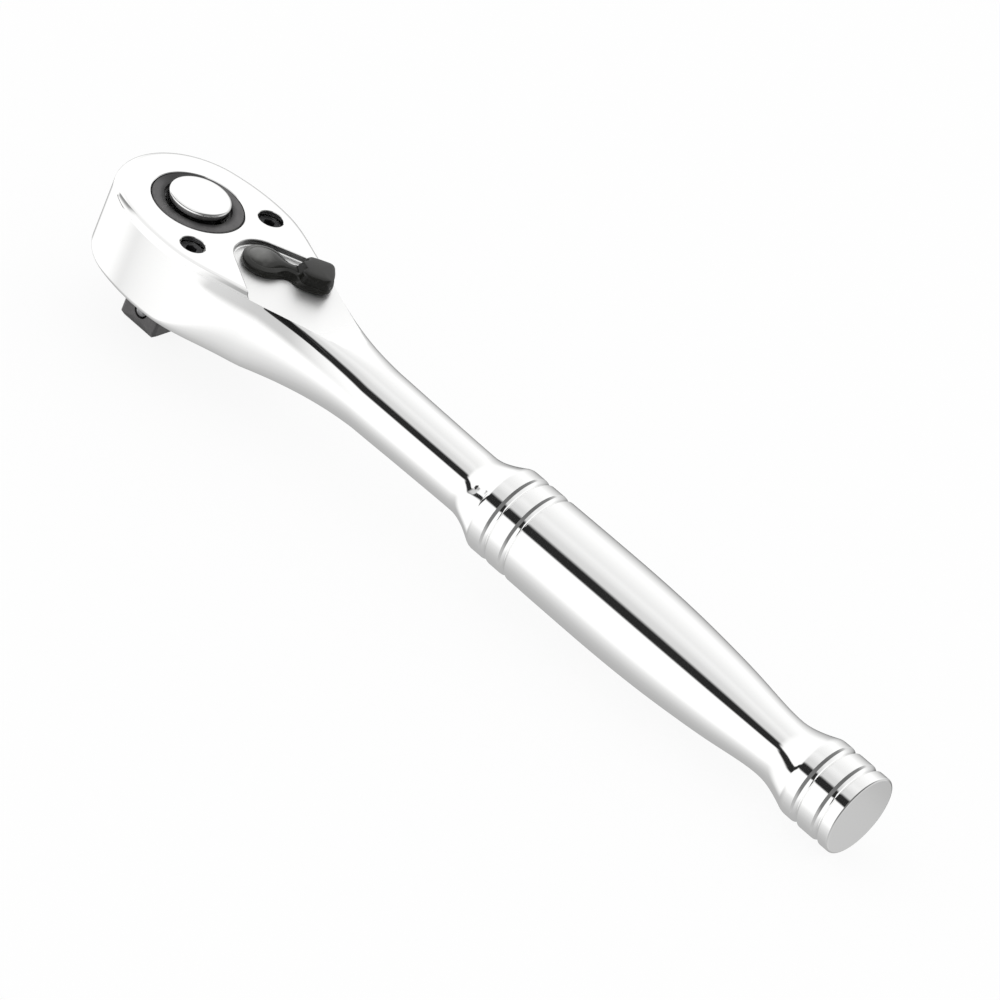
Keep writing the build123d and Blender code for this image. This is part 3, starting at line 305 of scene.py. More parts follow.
pale, board = new_finish("pale_card")
place = board.add("SeparateXYZ", Vector=board.add("TexCoord")["Object"])
along = place["X"] * 1000.0
climb = sheet_up * 1000.0
across = place["Y"] * climb.y + place["Z"] * climb.z - sheet_middle.dot(sheet_up)
wider = fade(board, along, *TAPE_WIDENS)
narrower = fade(board, along, *TAPE_NARROWS)
above_foot = across + wider * TAPE_FOOT_MOVES[0] - narrower * TAPE_FOOT_MOVES[1]
above_top = across - wider * TAPE_TOP_MOVES[0] + narrower * TAPE_TOP_MOVES[1]
tape = fade(board, above_foot, *TAPE_FOOT) * (1.0 - fade(board, above_top, *TAPE_TOP))
tape = tape * fade(board, along, *TAPE_START)
patch = band(board, along, *PATCH_ALONG) * band(board, across, *PATCH_ACROSS)
crest = fade(board, across, *CREST)
grey = grade(
    board,
    along / GREY_END,
    (0.0, 1.0),
    (0.34, 1.0),
    (0.46, 0.68),
    (0.64, 0.59),
    (0.78, 0.60),
    (0.88, 0.76),
    (1.0, 0.95),
)
grey = grey * (1.0 - crest * fade(board, along, *CREST_ALONG) * 0.40)
grey = grey * (1.0 - tape * 0.97) * (1.0 - patch * 0.72)
strip = band(board, across, *CARD_ACROSS) * band(board, along, *CARD_ALONG)
skirt = fade(board, across, *SKIRT_EDGE) * (1.0 - crest) * band(board, along, *SKIRT_ALONG)
taped = tape * (1.0 - fade(board, along, *TAPE_END))
opaque = strip.maths("MAXIMUM", skirt).maths("MAXIMUM", patch).maths("MAXIMUM", taped)
lit = board.add("Emission", Color=grey, Strength=PANEL_STRENGTH)["Emission"]
close(board, blend(board, opaque, board.add("BsdfTransparent")["BSDF"], lit))
clear_sheet.data.materials.append(pale)

# ------------------------------------------------------------------ floor
# Pale table top that the tool rests on with the tip of its square and its end ring, so it
# lies a few degrees off level. What is polished shows the room instead of it.
SQUARE_TIP = Vector((0.0038, 0.0, -0.0116))
END_RING_FOOT = Vector((0.1826, 0.0, 0.00085))
TABLE_REACH = 3.0
TABLE_GLOW = 0.90           # how far the camera sees it plain white, with no shadow

lean = math.atan2(END_RING_FOOT.z - SQUARE_TIP.z, END_RING_FOOT.x - SQUARE_TIP.x)
form = bmesh.new()
bmesh.ops.create_grid(form, x_segments=1, y_segments=1, size=TABLE_REACH)
form.transform(Matrix.Translation(SQUARE_TIP) @ Matrix.Rotation(-lean, 4, "Y"))
floor = built("table_top", form)
floor.visible_glossy = False

paper, sheet = new_finish("white_paper")
matt = sheet.add("BsdfDiffuse", Color=shade(0.93))["BSDF"]
glow = sheet.add("Emission", Color=shade(1.0), Strength=1.0)["Emission"]
close(sheet, blend(sheet, sheet.add("LightPath")["Is Camera Ray"] * TABLE_GLOW, matt, glow))
floor.data.materials.append(paper)

# ------------------------------------------------------------------ forged body
# Head, neck, shank and grip are one steel forging, ground and polished before it is plated
# with bright chrome. The grip is turned: a collar with two grooves, a long barrel, a waist
# and an end ring with two more.
NOSE = (-0.5, 0.0, 16.3)    # centre x, y and radius of the head's front, mm
NOSE_TURN = 16.0            # degrees short of a quarter turn at which the flank takes over
SIDE_RADIUS = 38.9
TAPER = 19.5                # degrees that the flanks close in at
NECK_START = 29.0
HEAD_BASE = 1.3
HEAD_TOP = 17.8
SWELL_START = 10.0          # where the flanks begin to swell, and where they have
HEAD_END = 26.9             # swelled to the neck's section
TOP_EDGE = (1.75, 1.75)     # inset and height of the edge round the head's top
TOP_SWELL = 2.4             # inset of the same edge at the head's end
BASE_EDGE = (1.2, 1.2)
BASE_SWELL = 2.3
ARC_STEPS = 14              # faces round each quarter of a rounded edge
SHANK = 6.95                # radius of the shank where the neck runs into it
COLLAR_FOOT = (80.4, 6.55, 0.0)
COLLAR_X = 88.0
COLLAR_RADIUS = 9.42
COLLAR_GROOVES = (92.6, 97.7)
WAIST = (162.2, 6.47, 0.0)
END_RING_X = 170.4
END_RING_RADIUS = 8.70
END_RING_GROOVES = (174.3, 179.6)
HANDLE_END = 183.0
END_EDGE = 0.45
GROOVE_WIDTH = 1.8
GROOVE_DEPTH = 0.5
LIP_WIDTH = 0.16            # beside a groove, where the polishing has eased it
LIP_DROP = 0.012
PIVOT = 18.8                # of the lever, on the handle's line
STEP_FLOOR = 16.5
STEP_RADIUS = 6.2           # of the step's round end, about the pivot
STEP_ANGLE = 31.0           # degrees that each side of the V opens at
STEP_FAR = 56.0             # past the neck, where the cutter of the V ends
STEP_FILLET = 0.4
STEP_LIP = 0.3
COVER_TOP = 3.3
COVER_RECESS = 2.0          # inset of the recess from the head's outline
COVER_END = 27.4
CAVITY_RADIUS = 12.65       # of the hollow that the gear turns in
CAVITY_ROOF = 14.2
POCKET_START = 6.0          # the pawl's pocket, which runs out of the cavity
POCKET_HALF = 9.1
POCKET_RADIUS = 6.8         # of its round end, about the pivot
POCKET_ROOF = 12.3
JOURNAL_BORE = 9.56
JOURNAL_CHAMFER = 0.14
SPINDLE_BORE = 3.06
BORE_START = 10.0           # inside the cavity, where both bores' cutters begin
SCREW_PLACE = (9.61, 11.26)
SCREW_SEAT = 15.2
SCREW_HOLE = 1.3
SCREW_WELL = 2.6
WELL_CHAMFER = 0.12
SHANK_FADE = (0.032, 0.050) # m along the handle, where the marks of the milling end
MILLED_SKIN = 0.00003
WALL_BAND = (0.0166, 0.0169, 0.0174, 0.0176)


def polar(centre, radius, angle):
    a = math.radians(angle)
    return centre[0] + radius * math.cos(a), centre[1] + radius * math.sin(a)


def head_stations():
    """Points of the head's left edge from its nose to its neck, each with its normal's angle."""
    turn_sin, turn_cos = math.sin(math.radians(NOSE_TURN)), math.cos(math.radians(NOSE_TURN))
    side_centre = (
        NOSE[0] - NOSE[2] * turn_sin + SIDE_RADIUS * turn_sin,
        NOSE[2] * turn_cos - SIDE_RADIUS * turn_cos,
    )
    marks = []
    for i in range(41):
        angle = 180.0 - (90.0 - NOSE_TURN) * i / 40
        marks.append((*polar(NOSE[:2], NOSE[2], angle), angle))
    for i in range(1, 33):
        angle = 90.0 + NOSE_TURN - (NOSE_TURN + TAPER) * i / 32
        marks.append((*polar(side_centre, SIDE_RADIUS, angle), angle))
    x, y, angle = marks[-1]
    for i in range(1, 9):
        run = (NECK_START - x) * i / 8
        marks.append((x + run, y - run * math.tan(math.radians(TAPER)), angle))
    return marks


def body_ring(x, y, angle, base, top, base_edge, top_edge):
    """One loop of the forging: up the left wall, over and down the right one.

    The edges are rounded to a quarter of an ellipse, given as (inset, height)."""
    quarter = [math.pi / 2 * i / ARC_STEPS for i in range(ARC_STEPS + 1)]
    side = [
        (base_edge[0] * (1 - math.sin(a)), base + base_edge[1] * (1 - math.cos(a)))
        for a in quarter
    ]
    side += [
        (top_edge[0] * (1 - math.cos(a)), top - top_edge[1] * (1 - math.sin(a)))
        for a in quarter
    ]
    nx, ny = math.cos(math.radians(angle)), math.sin(math.radians(angle))
    left = [(x - inset * nx, max(y - inset * ny, 0.0), z) for inset, z in side]
    return left + [(px, -py, pz) for px, py, pz in reversed(left)]


def eased(x, low, high):
    """0 up to low, 1 past high, smooth between them."""
    t = min(max((x - low) / (high - low), 0.0), 1.0)
    return t * t * (3 - 2 * t)


stations = head_stations()
neck_half = stations[-1][1]
neck_slope = math.tan(math.radians(TAPER))
neck_end = NECK_START + 2 * (neck_half - SHANK) / neck_slope


def edges(x, base, top):
    """Base and top edge of the section at x: small on the head, half the section on the neck."""
    swell = eased(x, SWELL_START, HEAD_END)
    share = max((x - HEAD_END) / (neck_end - HEAD_END), 0.0) ** 1.3
    found = []
    for (inset, height), goal, half in (
        (BASE_EDGE, BASE_SWELL, AXIS_HEIGHT - base),
        (TOP_EDGE, TOP_SWELL, top - AXIS_HEIGHT),
    ):
        inset += (goal - inset) * swell
        found.append((inset + (SHANK - inset) * share, height + (half - height) * swell))
    return found


loops = []
for x, y, angle in stations[:-1]:
    loops.append(body_ring(x, y, angle, HEAD_BASE, HEAD_TOP, *edges(x, HEAD_BASE, HEAD_TOP)))
for i in range(49):
    share = i / 48
    left = (1 - share) ** 2
    x = NECK_START + share * (neck_end - NECK_START)
    y = SHANK + (neck_half - SHANK) * left
    base = AXIS_HEIGHT - SHANK - (AXIS_HEIGHT - SHANK - HEAD_BASE) * left
    top = STEP_FLOOR + (HEAD_TOP - STEP_FLOOR) * max(1 - share / 0.75, 0.0) ** 1.5
    angle = 90.0 - math.degrees(math.atan(neck_slope * (1 - share)))
    loops.append(body_ring(x, y, angle, base, top, *edges(x, base, top)))


def smooth_run(marks, steps):
    """Points of a smooth curve through marks (x, radius, slope)."""
    run = []
    for (x0, r0, s0), (x1, r1, s1) in zip(marks, marks[1:]):
        width = x1 - x0
        for i in range(steps):
            t = i / steps
            radius = (
                r0 * (1 + 2 * t) * (1 - t) ** 2
                + s0 * width * t * (1 - t) ** 2
                + r1 * t * t * (3 - 2 * t)
                + s1 * width * t * t * (t - 1)
            )
            run.append((x0 + t * width, radius))
    return run


def shoulder(x, radius, length, drop):
    """The rounded start of a ring, which rises by drop over its length."""
    return [(x + length * i / 10, radius - drop * (1 - 0.1 * i) ** 2) for i in range(11)]


def groove(x, radius):
    """A half-round groove, its two lips eased by the polishing."""
    half = GROOVE_WIDTH / 2
    curve = (half**2 + GROOVE_DEPTH**2) / (2 * GROOVE_DEPTH)
    reach = math.asin(half / curve)
    run = [(x - half - LIP_WIDTH, radius), (x - half - 0.06, radius - LIP_DROP)]
    for i in range(1, 12):
        a = -reach + 2 * reach * i / 12
        run.append((x + curve * math.sin(a), radius - GROOVE_DEPTH + curve * (1 - math.cos(a))))
    return run + [(x + half + 0.06, radius - LIP_DROP), (x + half + LIP_WIDTH, radius)]


barrel = [
    (98.9, 9.42, 0.004),
    (106.0, 9.46, 0.004),
    (115.0, 9.48, 0.0),
    (132.7, 9.10, -0.050),
    (140.7, 8.58, -0.077),
    (148.7, 7.87, -0.107),
    (156.7, 6.87, -0.121),
    WAIST,
]
profile = smooth_run([(neck_end + 0.4, 6.94, -0.012), (67.0, 6.71, -0.013), COLLAR_FOOT], 10)
profile += smooth_run([COLLAR_FOOT, (COLLAR_X, COLLAR_RADIUS - 0.25, 0.55)], 22)
profile += shoulder(COLLAR_X, COLLAR_RADIUS, 1.0, 0.25)
for x in COLLAR_GROOVES:
    profile += groove(x, COLLAR_RADIUS)
profile += smooth_run(barrel, 9)
profile += smooth_run([WAIST, (END_RING_X, END_RING_RADIUS - 0.20, 0.40)], 22)
profile += shoulder(END_RING_X, END_RING_RADIUS, 1.2, 0.20)
for x in END_RING_GROOVES:
    profile += groove(x, END_RING_RADIUS)
for i in range(9):
    a = math.pi / 2 * i / 8
    x = HANDLE_END - END_EDGE * (1 - math.sin(a))
    profile.append((x, END_RING_RADIUS - END_EDGE * (1 - math.cos(a))))
for x, radius in profile:
    ends = AXIS_HEIGHT - radius, AXIS_HEIGHT + radius
    loops.append(body_ring(x, radius, 90.0, *ends, (radius, radius), (radius, radius)))


def join_rings(form, rings, closed=False):
    """A row of points for each loop, in metres, with a band of faces between rows."""
    rows = [[form.verts.new([c / 1000 for c in p]) for p in ring] for ring in rings]
    for a, b in zip(rows, rows[1:] + (rows[:1] if closed else [])):
        for i in range(len(a)):
            j = (i + 1) % len(a)
            form.faces.new((a[i], a[j], b[j], b[i]))
    return rows


def skin(name, rings, close_end=True):
    """A closed shell over a row of loops."""
    form = bmesh.new()
    rows = join_rings(form, rings)
    if close_end:
        form.faces.new(rows[-1])
        form.faces.new(rows[0][::-1])
    bmesh.ops.remove_doubles(form, verts=form.verts, dist=1e-6)
    bmesh.ops.dissolve_degenerate(form, edges=form.edges, dist=1e-6)
    bmesh.ops.recalc_face_normals(form, faces=form.faces)
    return built(name, form)


def turned_loop(centre, radius, z, count):
    return [(*polar(centre, radius, 360.0 * i / count), z) for i in range(count)]


def post(name, centre, radii, count=96):
    """A turned cutter: radii are (z, radius) from the bottom up."""
    return skin(name, [turned_loop(centre, r, z, count) for z, r in radii])


def prism(name, levels):
    """A piece over outlines of equal count: levels are (z, points)."""
    return skin(name, [[(x, y, z) for x, y in points] for z, points in levels])


def cut(thing, *cutters):
    """Takes cutters out of a piece and removes them."""
    for cutter in cutters:
        step = thing.modifiers.new("cut", "BOOLEAN")
        step.operation = "DIFFERENCE"
        step.solver = "EXACT"
        step.object = cutter
    graph = bpy.context.evaluated_depsgraph_get()
    result = bpy.data.meshes.new_from_object(thing.evaluated_get(graph))
    thing.modifiers.clear()
    thing.data = result
    for cutter in cutters:
        bpy.data.objects.remove(cutter)


def finished(thing, body, node, crease=30.0):
    """Smooth faces up to a crease angle, flat faces kept flat, and the piece put on its body."""
    thing.data.shade_smooth()
    thing.data.set_sharp_from_angle(angle=math.radians(crease))
    even = thing.modifiers.new("even_normals", "WEIGHTED_NORMAL")
    even.keep_sharp = True
    even.weight = 90
    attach(thing, body)
    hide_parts(node)


def step_outline(grow):
    """Plan of the lever's step, wider all round by grow: a V that opens to the handle."""
    first = 90.0 + STEP_ANGLE
    turns = [first + (360.0 - 2 * first) * i / 32 for i in range(33)]
    arc = [polar((PIVOT, 0.0), STEP_RADIUS + grow, angle) for angle in turns]
    x, y = arc[0]
    rise = y + (STEP_FAR - x) * math.tan(math.radians(STEP_ANGLE))
    return [(STEP_FAR, rise)] + arc + [(STEP_FAR, -rise)]


def inset_outline(inset):
    """The head's outline drawn in, cut off short of the neck, for the cover's recess."""
    left = []
    for x, y, angle in head_stations():
        a = math.radians(angle)
        px, py = x - inset * math.cos(a), y - inset * math.sin(a)
        if px < COVER_END:
            left.append((px, max(py, 0.0)))
        else:
            qx, qy = left[-1]
            left.append((COVER_END, qy + (py - qy) * (COVER_END - qx) / (px - qx)))
            break
    left[0] = (left[0][0], 0.0)
    return left + [(px, -py) for px, py in reversed(left[1:])]


def out_of_top(radius, chamfer):
    """The upper end of a hole's cutter, which breaks the edge that it leaves."""
    return [(HEAD_TOP - chamfer, radius), (HEAD_TOP + 1.0, radius + 1.0 + chamfer)]


pocket = [
    (PIVOT - 1.0, POCKET_HALF),
    (POCKET_START, POCKET_HALF),
    (POCKET_START, -POCKET_HALF),
    (PIVOT - 1.0, -POCKET_HALF),
]
pocket += [polar((PIVOT, 0.0), POCKET_RADIUS, -35.0 + 70.0 * i / 16) for i in range(17)]
bends = [math.pi / 2 * i / 6 for i in range(7)]
step_wall = [
    (STEP_FLOOR + STEP_FILLET * (1 - math.cos(a)), STEP_FILLET * (math.sin(a) - 1)) for a in bends
]
step_wall += [
    (HEAD_TOP - STEP_LIP * (1 - math.sin(a)), STEP_LIP * (1 - math.cos(a))) for a in bends[:-1]
]
step_wall += [(HEAD_TOP + 1.0, STEP_LIP + 0.3)]
journal = [(BORE_START, JOURNAL_BORE)] + out_of_top(JOURNAL_BORE, JOURNAL_CHAMFER)
spindle = [(BORE_START, SPINDLE_BORE), (STEP_FLOOR + 0.4, SPINDLE_BORE)]
recess = inset_outline(COVER_RECESS)
wrench_body = skin("forged_body", loops)
cutters = [
    prism("step_cutter", [(z, step_outline(grow)) for z, grow in step_wall]),
    prism("cover_cutter", [(0.0, recess), (COVER_TOP, recess)]),
    post("gear_cutter", (0.0, 0.0), [(0.0, CAVITY_RADIUS), (CAVITY_ROOF, CAVITY_RADIUS)]),
    prism("pocket_cutter", [(0.0, pocket), (POCKET_ROOF, pocket)]),
    post("bearing_cutter", (0.0, 0.0), journal, 128),
    post("spindle_cutter", (PIVOT, 0.0), spindle, 64),
]
well = [(0.0, SCREW_HOLE), (SCREW_SEAT, SCREW_HOLE), (SCREW_SEAT + 0.0001, SCREW_WELL)]
well += out_of_top(SCREW_WELL, WELL_CHAMFER)
for side in (1, -1):
    cutters.append(post("screw_cutter", (SCREW_PLACE[0], side * SCREW_PLACE[1]), well, 48))
cut(wrench_body, *cutters)
finished(wrench_body, "root", "wrench_body")

chrome, plating = new_finish("bright_chrome")
place = plating.add("TexCoord")["Object"]
haze = plating.add("TexNoise", Vector=place, Scale=60.0, Detail=3.0, Roughness=0.5)["Fac"]
xyz = plating.add("SeparateXYZ", Vector=place)
before_shank = 1.0 - fade(plating, xyz["X"], *SHANK_FADE)
# The step's floor is left as it was milled, and the wheel doesn't reach its wall; the wall is
# also painted dark, a painted shade.
off_floor = (xyz["Z"] - STEP_FLOOR / 1000).maths("ABSOLUTE")
milled = off_floor.maths("LESS_THAN", MILLED_SKIN) * before_shank
slope = math.tan(math.radians(STEP_ANGLE))
wall_start = (PIVOT * slope - (STEP_RADIUS + 0.1) / math.cos(math.radians(STEP_ANGLE))) / 1000
inside_step = xyz["X"] * slope - xyz["Y"].maths("ABSOLUTE")
wall_painted_dark = inside_step.maths("GREATER_THAN", wall_start) * before_shank
wall_painted_dark = wall_painted_dark * band(plating, xyz["Z"], *WALL_BAND)
# painted shade: the step's wall takes a dark grey in place of the chrome's colour
tone = grade(plating, wall_painted_dark, (0.0, (0.915, 0.915, 0.91)), (1.0, (0.30, 0.30, 0.30)))
rough = haze * 0.02 + milled * 0.36 + wall_painted_dark * 0.15 + 0.045
metal = plating.add("BsdfPrincipled", Base_Color=tone, Metallic=1.0, Roughness=rough)["BSDF"]
close(plating, metal)
wrench_body.data.materials.append(chrome)

# ------------------------------------------------------------------ cover plate
# Ground steel plate let into the underside of the head. It closes the gear's cavity and
# carries the gear's lower journal; its rim and its bore are lightly broken.
COVER_INSET = 2.05          # from the head's outline, a little more than its recess
COVER_CHAMFER = 0.15
LOWER_BORE = 8.56
FOOT_BORE = 2.06            # for the foot of the lever's spindle
FOOT_DEPTH = 1.2
THREAD = 1.27

outline = inset_outline(COVER_INSET)
cover_plate = prism(
    "ground_cover",
    [
        (HEAD_BASE, inset_outline(COVER_INSET + COVER_CHAMFER)),
        (HEAD_BASE + COVER_CHAMFER, outline),
        (COVER_TOP, outline),
    ],
)
journal = [
    (HEAD_BASE - 0.2, LOWER_BORE + 0.35),
    (HEAD_BASE + COVER_CHAMFER, LOWER_BORE),
    (COVER_TOP + 0.5, LOWER_BORE),
]
foot_hole = [(COVER_TOP - FOOT_DEPTH, FOOT_BORE), (COVER_TOP + 0.5, FOOT_BORE)]
thread = [(HEAD_BASE - 0.2, THREAD + 0.33), (HEAD_BASE + 0.12, THREAD), (COVER_TOP + 0.5, THREAD)]
cutters = [
    post("journal_cutter", (0.0, 0.0), journal),
    post("foot_cutter", (PIVOT, 0.0), foot_hole, 48),
]
for side in (1, -1):
    cutters.append(post("thread_cutter", (SCREW_PLACE[0], side * SCREW_PLACE[1]), thread, 48))
cut(cover_plate, *cutters)
finished(cover_plate, "root", "cover_plate")

ground, grind = new_finish("ground_steel")
place = grind.add("TexCoord")["Object"]
lines = grind.add("Mapping", Vector=place, Scale=(900.0, 14000.0, 900.0))["Vector"]
scratch = grind.add("TexNoise", Vector=lines, Scale=1.0, Detail=2.0, Roughness=0.6)["Fac"]
clouds = grind.add("TexNoise", Vector=place, Scale=220.0, Detail=3.0, Roughness=0.6)["Fac"]
tone = grade(
    grind, clouds * 0.6 + scratch * 0.4, (0.25, (0.47, 0.47, 0.48)), (0.75, (0.61, 0.61, 0.62))
)
rough = scratch * 0.16 + clouds * 0.1 + 0.22
relief = grind.add("Bump", Strength=0.12, Distance=0.00002, Height=scratch)["Normal"]
steel = grind.add(
    "BsdfPrincipled", Base_Color=tone, Metallic=1.0, Roughness=rough, Normal=relief
)
close(grind, steel["BSDF"])
cover_plate.data.materials.append(ground)


def carry(stuff, *nodes):
    """Gives solids that are shown as they are their finish."""
    for name in nodes:
        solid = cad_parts[name]
        solid.data.materials.clear()
        solid.data.materials.append(stuff)


carry(ground, "thrust_washer", "release_plunger", "lever_spindle", "lever_detent_pin")

# ------------------------------------------------------------------ cover screws
# Two black oxided socket screws, dropped into wells in the head's top face. They go down
# through the head and are threaded into the cover plate.
SCREW_SHANK = 1.25
SCREW_HEAD = 2.4
SCREW_HEIGHT = 1.6
SCREW_TIP = 0.3             # of the screw's end over the head's base
KEY = 2.0                   # across the flats of its socket
KEY_FLOOR = 0.55


def round_loop(radius, z, count=48):
    return turned_loop((0.0, 0.0), radius, z, count)


def hexagon(across, z, count=48):
    """A six-sided outline with as many points as the round ones it is joined to."""
    points = []
    for i in range(count):
        angle = 360.0 * i / count
        radius = across / 2 / math.cos(math.radians(angle % 60.0 - 30.0))
        points.append((*polar((0.0, 0.0), radius, angle), z))
    return points


screw_end = HEAD_BASE + SCREW_TIP - SCREW_SEAT
cover_screws = skin(
    "socket_screws",
    [
        round_loop(SCREW_SHANK - 0.2, screw_end),
        round_loop(SCREW_SHANK, screw_end + 0.2),
        round_loop(SCREW_SHANK, 0.0),
        round_loop(SCREW_HEAD - 0.08, 0.0),
        round_loop(SCREW_HEAD, 0.08),
        round_loop(SCREW_HEAD, SCREW_HEIGHT - 0.22),
        round_loop(SCREW_HEAD - 0.04, SCREW_HEIGHT - 0.12),
        round_loop(SCREW_HEAD - 0.18, SCREW_HEIGHT - 0.03),
        round_loop(SCREW_HEAD - 0.3, SCREW_HEIGHT),
        round_loop(1.45, SCREW_HEIGHT),
        hexagon(KEY + 0.16, SCREW_HEIGHT),
        hexagon(KEY, SCREW_HEIGHT - 0.1),
        hexagon(KEY, KEY_FLOOR),
        round_loop(0.15, KEY_FLOOR - 0.25),
    ],
)
repeat = bpy.data.node_groups.new("screws_in_a_row", "GeometryNodeTree")
repeat.interface.new_socket("Geometry", in_out="INPUT", socket_type="NodeSocketGeometry")
sizes = {
    name: repeat.interface.new_socket(name, in_out="INPUT", socket_type="NodeSocketFloat")
    for name in ("Along the Handle", "Off the Middle", "Seat Height")
}
finish = repeat.interface.new_socket("Finish", in_out="INPUT", socket_type="NodeSocketMaterial")
repeat.interface.new_socket("Geometry", in_out="OUTPUT", socket_type="NodeSocketGeometry")


def geometry(tree, kind, **values):
    """Adds a node, sets or joins its inputs by name, and returns its outputs."""
    node = tree.nodes.new(kind)
    for name, value in values.items():
        slot = node.inputs[name.replace("_", " ")]
        if isinstance(value, bpy.types.NodeSocket):
            tree.links.new(value, slot)
        else:
            slot.default_value = value
    return node.outputs


asked = geometry(repeat, "NodeGroupInput")
minus = repeat.nodes.new("ShaderNodeMath")
minus.operation = "MULTIPLY"
repeat.links.new(asked["Off the Middle"], minus.inputs[0])
minus.inputs[1].default_value = -1.0
ends = []
for off_middle in (minus.outputs[0], asked["Off the Middle"]):
    end = geometry(
        repeat,
        "ShaderNodeCombineXYZ",
        X=asked["Along the Handle"],
        Y=off_middle,
        Z=asked["Seat Height"],
    )
    ends.append(end[0])
row = repeat.nodes.new("GeometryNodeMeshLine")
row.mode = "END_POINTS"
row.inputs["Count"].default_value = 2
repeat.links.new(ends[0], row.inputs["Start Location"])
repeat.links.new(ends[1], row.inputs["Offset"])
placed = geometry(
    repeat, "GeometryNodeInstanceOnPoints", Points=row.outputs[0], Instance=asked["Geometry"]
)
real = geometry(repeat, "GeometryNodeRealizeInstances", Geometry=placed[0])
dressed = geometry(
    repeat, "GeometryNodeSetMaterial", Geometry=real[0], Material=asked["Finish"]
)
repeat.links.new(dressed[0], repeat.nodes.new("NodeGroupOutput").inputs[0])

oxide, black = new_finish("black_oxide")
place = black.add("TexCoord")["Object"]
clouds = black.add("TexNoise", Vector=place, Scale=900.0, Detail=4.0, Roughness=0.6)["Fac"]
tone = grade(black, clouds, (0.3, (0.022, 0.022, 0.023)), (0.7, (0.05, 0.05, 0.052)))
rough = clouds * 0.2 + 0.34
steel = black.add("BsdfPrincipled", Base_Color=tone, Metallic=0.85, Roughness=rough)
close(black, steel["BSDF"])

layout = cover_screws.modifiers.new("row", "NODES")
layout.node_group = repeat
for name, value in zip(sizes, (*SCREW_PLACE, SCREW_SEAT)):
    layout[sizes[name].identifier] = value / 1000
layout[finish.identifier] = oxide
graph = bpy.context.evaluated_depsgraph_get()
plain = bpy.data.meshes.new_from_object(cover_screws.evaluated_get(graph))
cover_screws.modifiers.clear()
cover_screws.data = plain
finished(cover_screws, "root", "cover_screws")

# ------------------------------------------------------------------ drive gear
# Toothed ring, journals, collar and square cut from one bar, hardened and left with its
# dark phosphate coat. The button's ring and the pawl have the same coat.
SHADE_TOP = (0.0160, 0.0165)    # m: over this height the journal's top face is painted darker, a painted shade,
SHADE_RING = (0.0070, 0.0083)   # m off the axis: close round the button
SHADE_SIDE = (-0.91, 0.42)      # and out to the rim towards this side
SHADE_TURN = (0.45, 0.95)


def copied(name, node):
    """A piece made from a copy of a solid's mesh, with its doubled points merged."""
    thing = bpy.data.objects.new(name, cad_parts[node].data.copy())
    bpy.context.scene.collection.objects.link(thing)
    form = bmesh.new()
    form.from_mesh(thing.data)
    bmesh.ops.remove_doubles(form, verts=form.verts, dist=1e-6)
    form.to_mesh(thing.data)
    form.free()
    thing.data.materials.clear()
    return thing


drive_gear = copied("phosphated_drive", "drive_gear")
finished(drive_gear, "drive", "drive_gear", crease=24.0)

phosphate, coat = new_finish("dark_phosphate")
place = coat.add("TexCoord")["Object"]
clouds = coat.add("TexNoise", Vector=place, Scale=350.0, Detail=4.0, Roughness=0.62)["Fac"]
grain = coat.add("TexNoise", Vector=place, Scale=5200.0, Detail=2.0, Roughness=0.5)["Fac"]
xyz = coat.add("SeparateXYZ", Vector=place)
off = (xyz["X"] ** 2.0 + xyz["Y"] ** 2.0) ** 0.5
side = (xyz["X"] * SHADE_SIDE[0] + xyz["Y"] * SHADE_SIDE[1]) / off
# painted shade: the journal's top face is darkened close round the button and towards one side
unshaded = (1.0 - fade(coat, side, *SHADE_TURN)) * fade(coat, off, *SHADE_RING)
painted_shade = fade(coat, xyz["Z"], *SHADE_TOP) * (1.0 - unshaded)
tone = grade(
    coat,
    (clouds * 0.75 + grain * 0.25) * (1.0 - painted_shade * 0.8),
    (0.0, (0.006, 0.006, 0.006)),
    (0.3, (0.085, 0.083, 0.084)),
    (0.7, (0.145, 0.141, 0.142)),
)
rough = clouds * 0.16 + 0.32
relief = coat.add("Bump", Strength=0.15, Distance=0.00002, Height=grain)["Normal"]
steel = coat.add("BsdfPrincipled", Base_Color=tone, Metallic=0.7, Roughness=rough, Normal=relief)
close(coat, steel["BSDF"])
drive_gear.data.materials.append(phosphate)
carry(phosphate, "pawl", "button_retaining_ring")

# ------------------------------------------------------------------ dust seal
# Two rubber rings keep grit out: one round the gear's lower journal, one round the
# lever's spindle. Both sit deep in their grooves.
rubber, seal = new_finish("seal_rubber")
place = seal.add("TexCoord")["Object"]
clouds = seal.add("TexNoise", Vector=place, Scale=1500.0, Detail=3.0, Roughness=0.6)["Fac"]
tone = grade(seal, clouds, (0.3, (0.022, 0.022, 0.022)), (0.7, (0.038, 0.038, 0.037)))
rough = clouds * 0.2 + 0.6
close(seal, seal.add("BsdfPrincipled", Base_Color=tone, Roughness=rough)["BSDF"])
carry(rubber, "dust_seal", "lever_seal")

# ------------------------------------------------------------------ release button
# Turned steel cup, plated bright. Its flange is trapped under the ring in the drive's well
# and its boss holds the plunger; the top is very slightly domed and its edge is rounded.
BUTTON_TOP = 19.8
BUTTON_RADIUS = 6.3
BUTTON_EDGE = 0.6           # radius of its rounded edge
BUTTON_DOME = 0.14
BUTTON_ROOF = BUTTON_TOP - 2.2
CUP_RADIUS = 5.6
BOSS_RADIUS = 2.9
PLUNGER_HOLE = 1.42
PLUNGER_DEPTH = 1.1         # from the button's top down to the hole's end
RING_DEPTH = 0.7            # of the retaining ring under the head's top
RING_THICKNESS = 0.8
RING_GAP = 0.05
FLANGE_RADIUS = 6.9
FLANGE_TOP = HEAD_TOP - RING_DEPTH - RING_THICKNESS - RING_GAP
FLANGE_BASE = FLANGE_TOP - 4.2
BOSS_BASE = FLANGE_TOP - 3.2


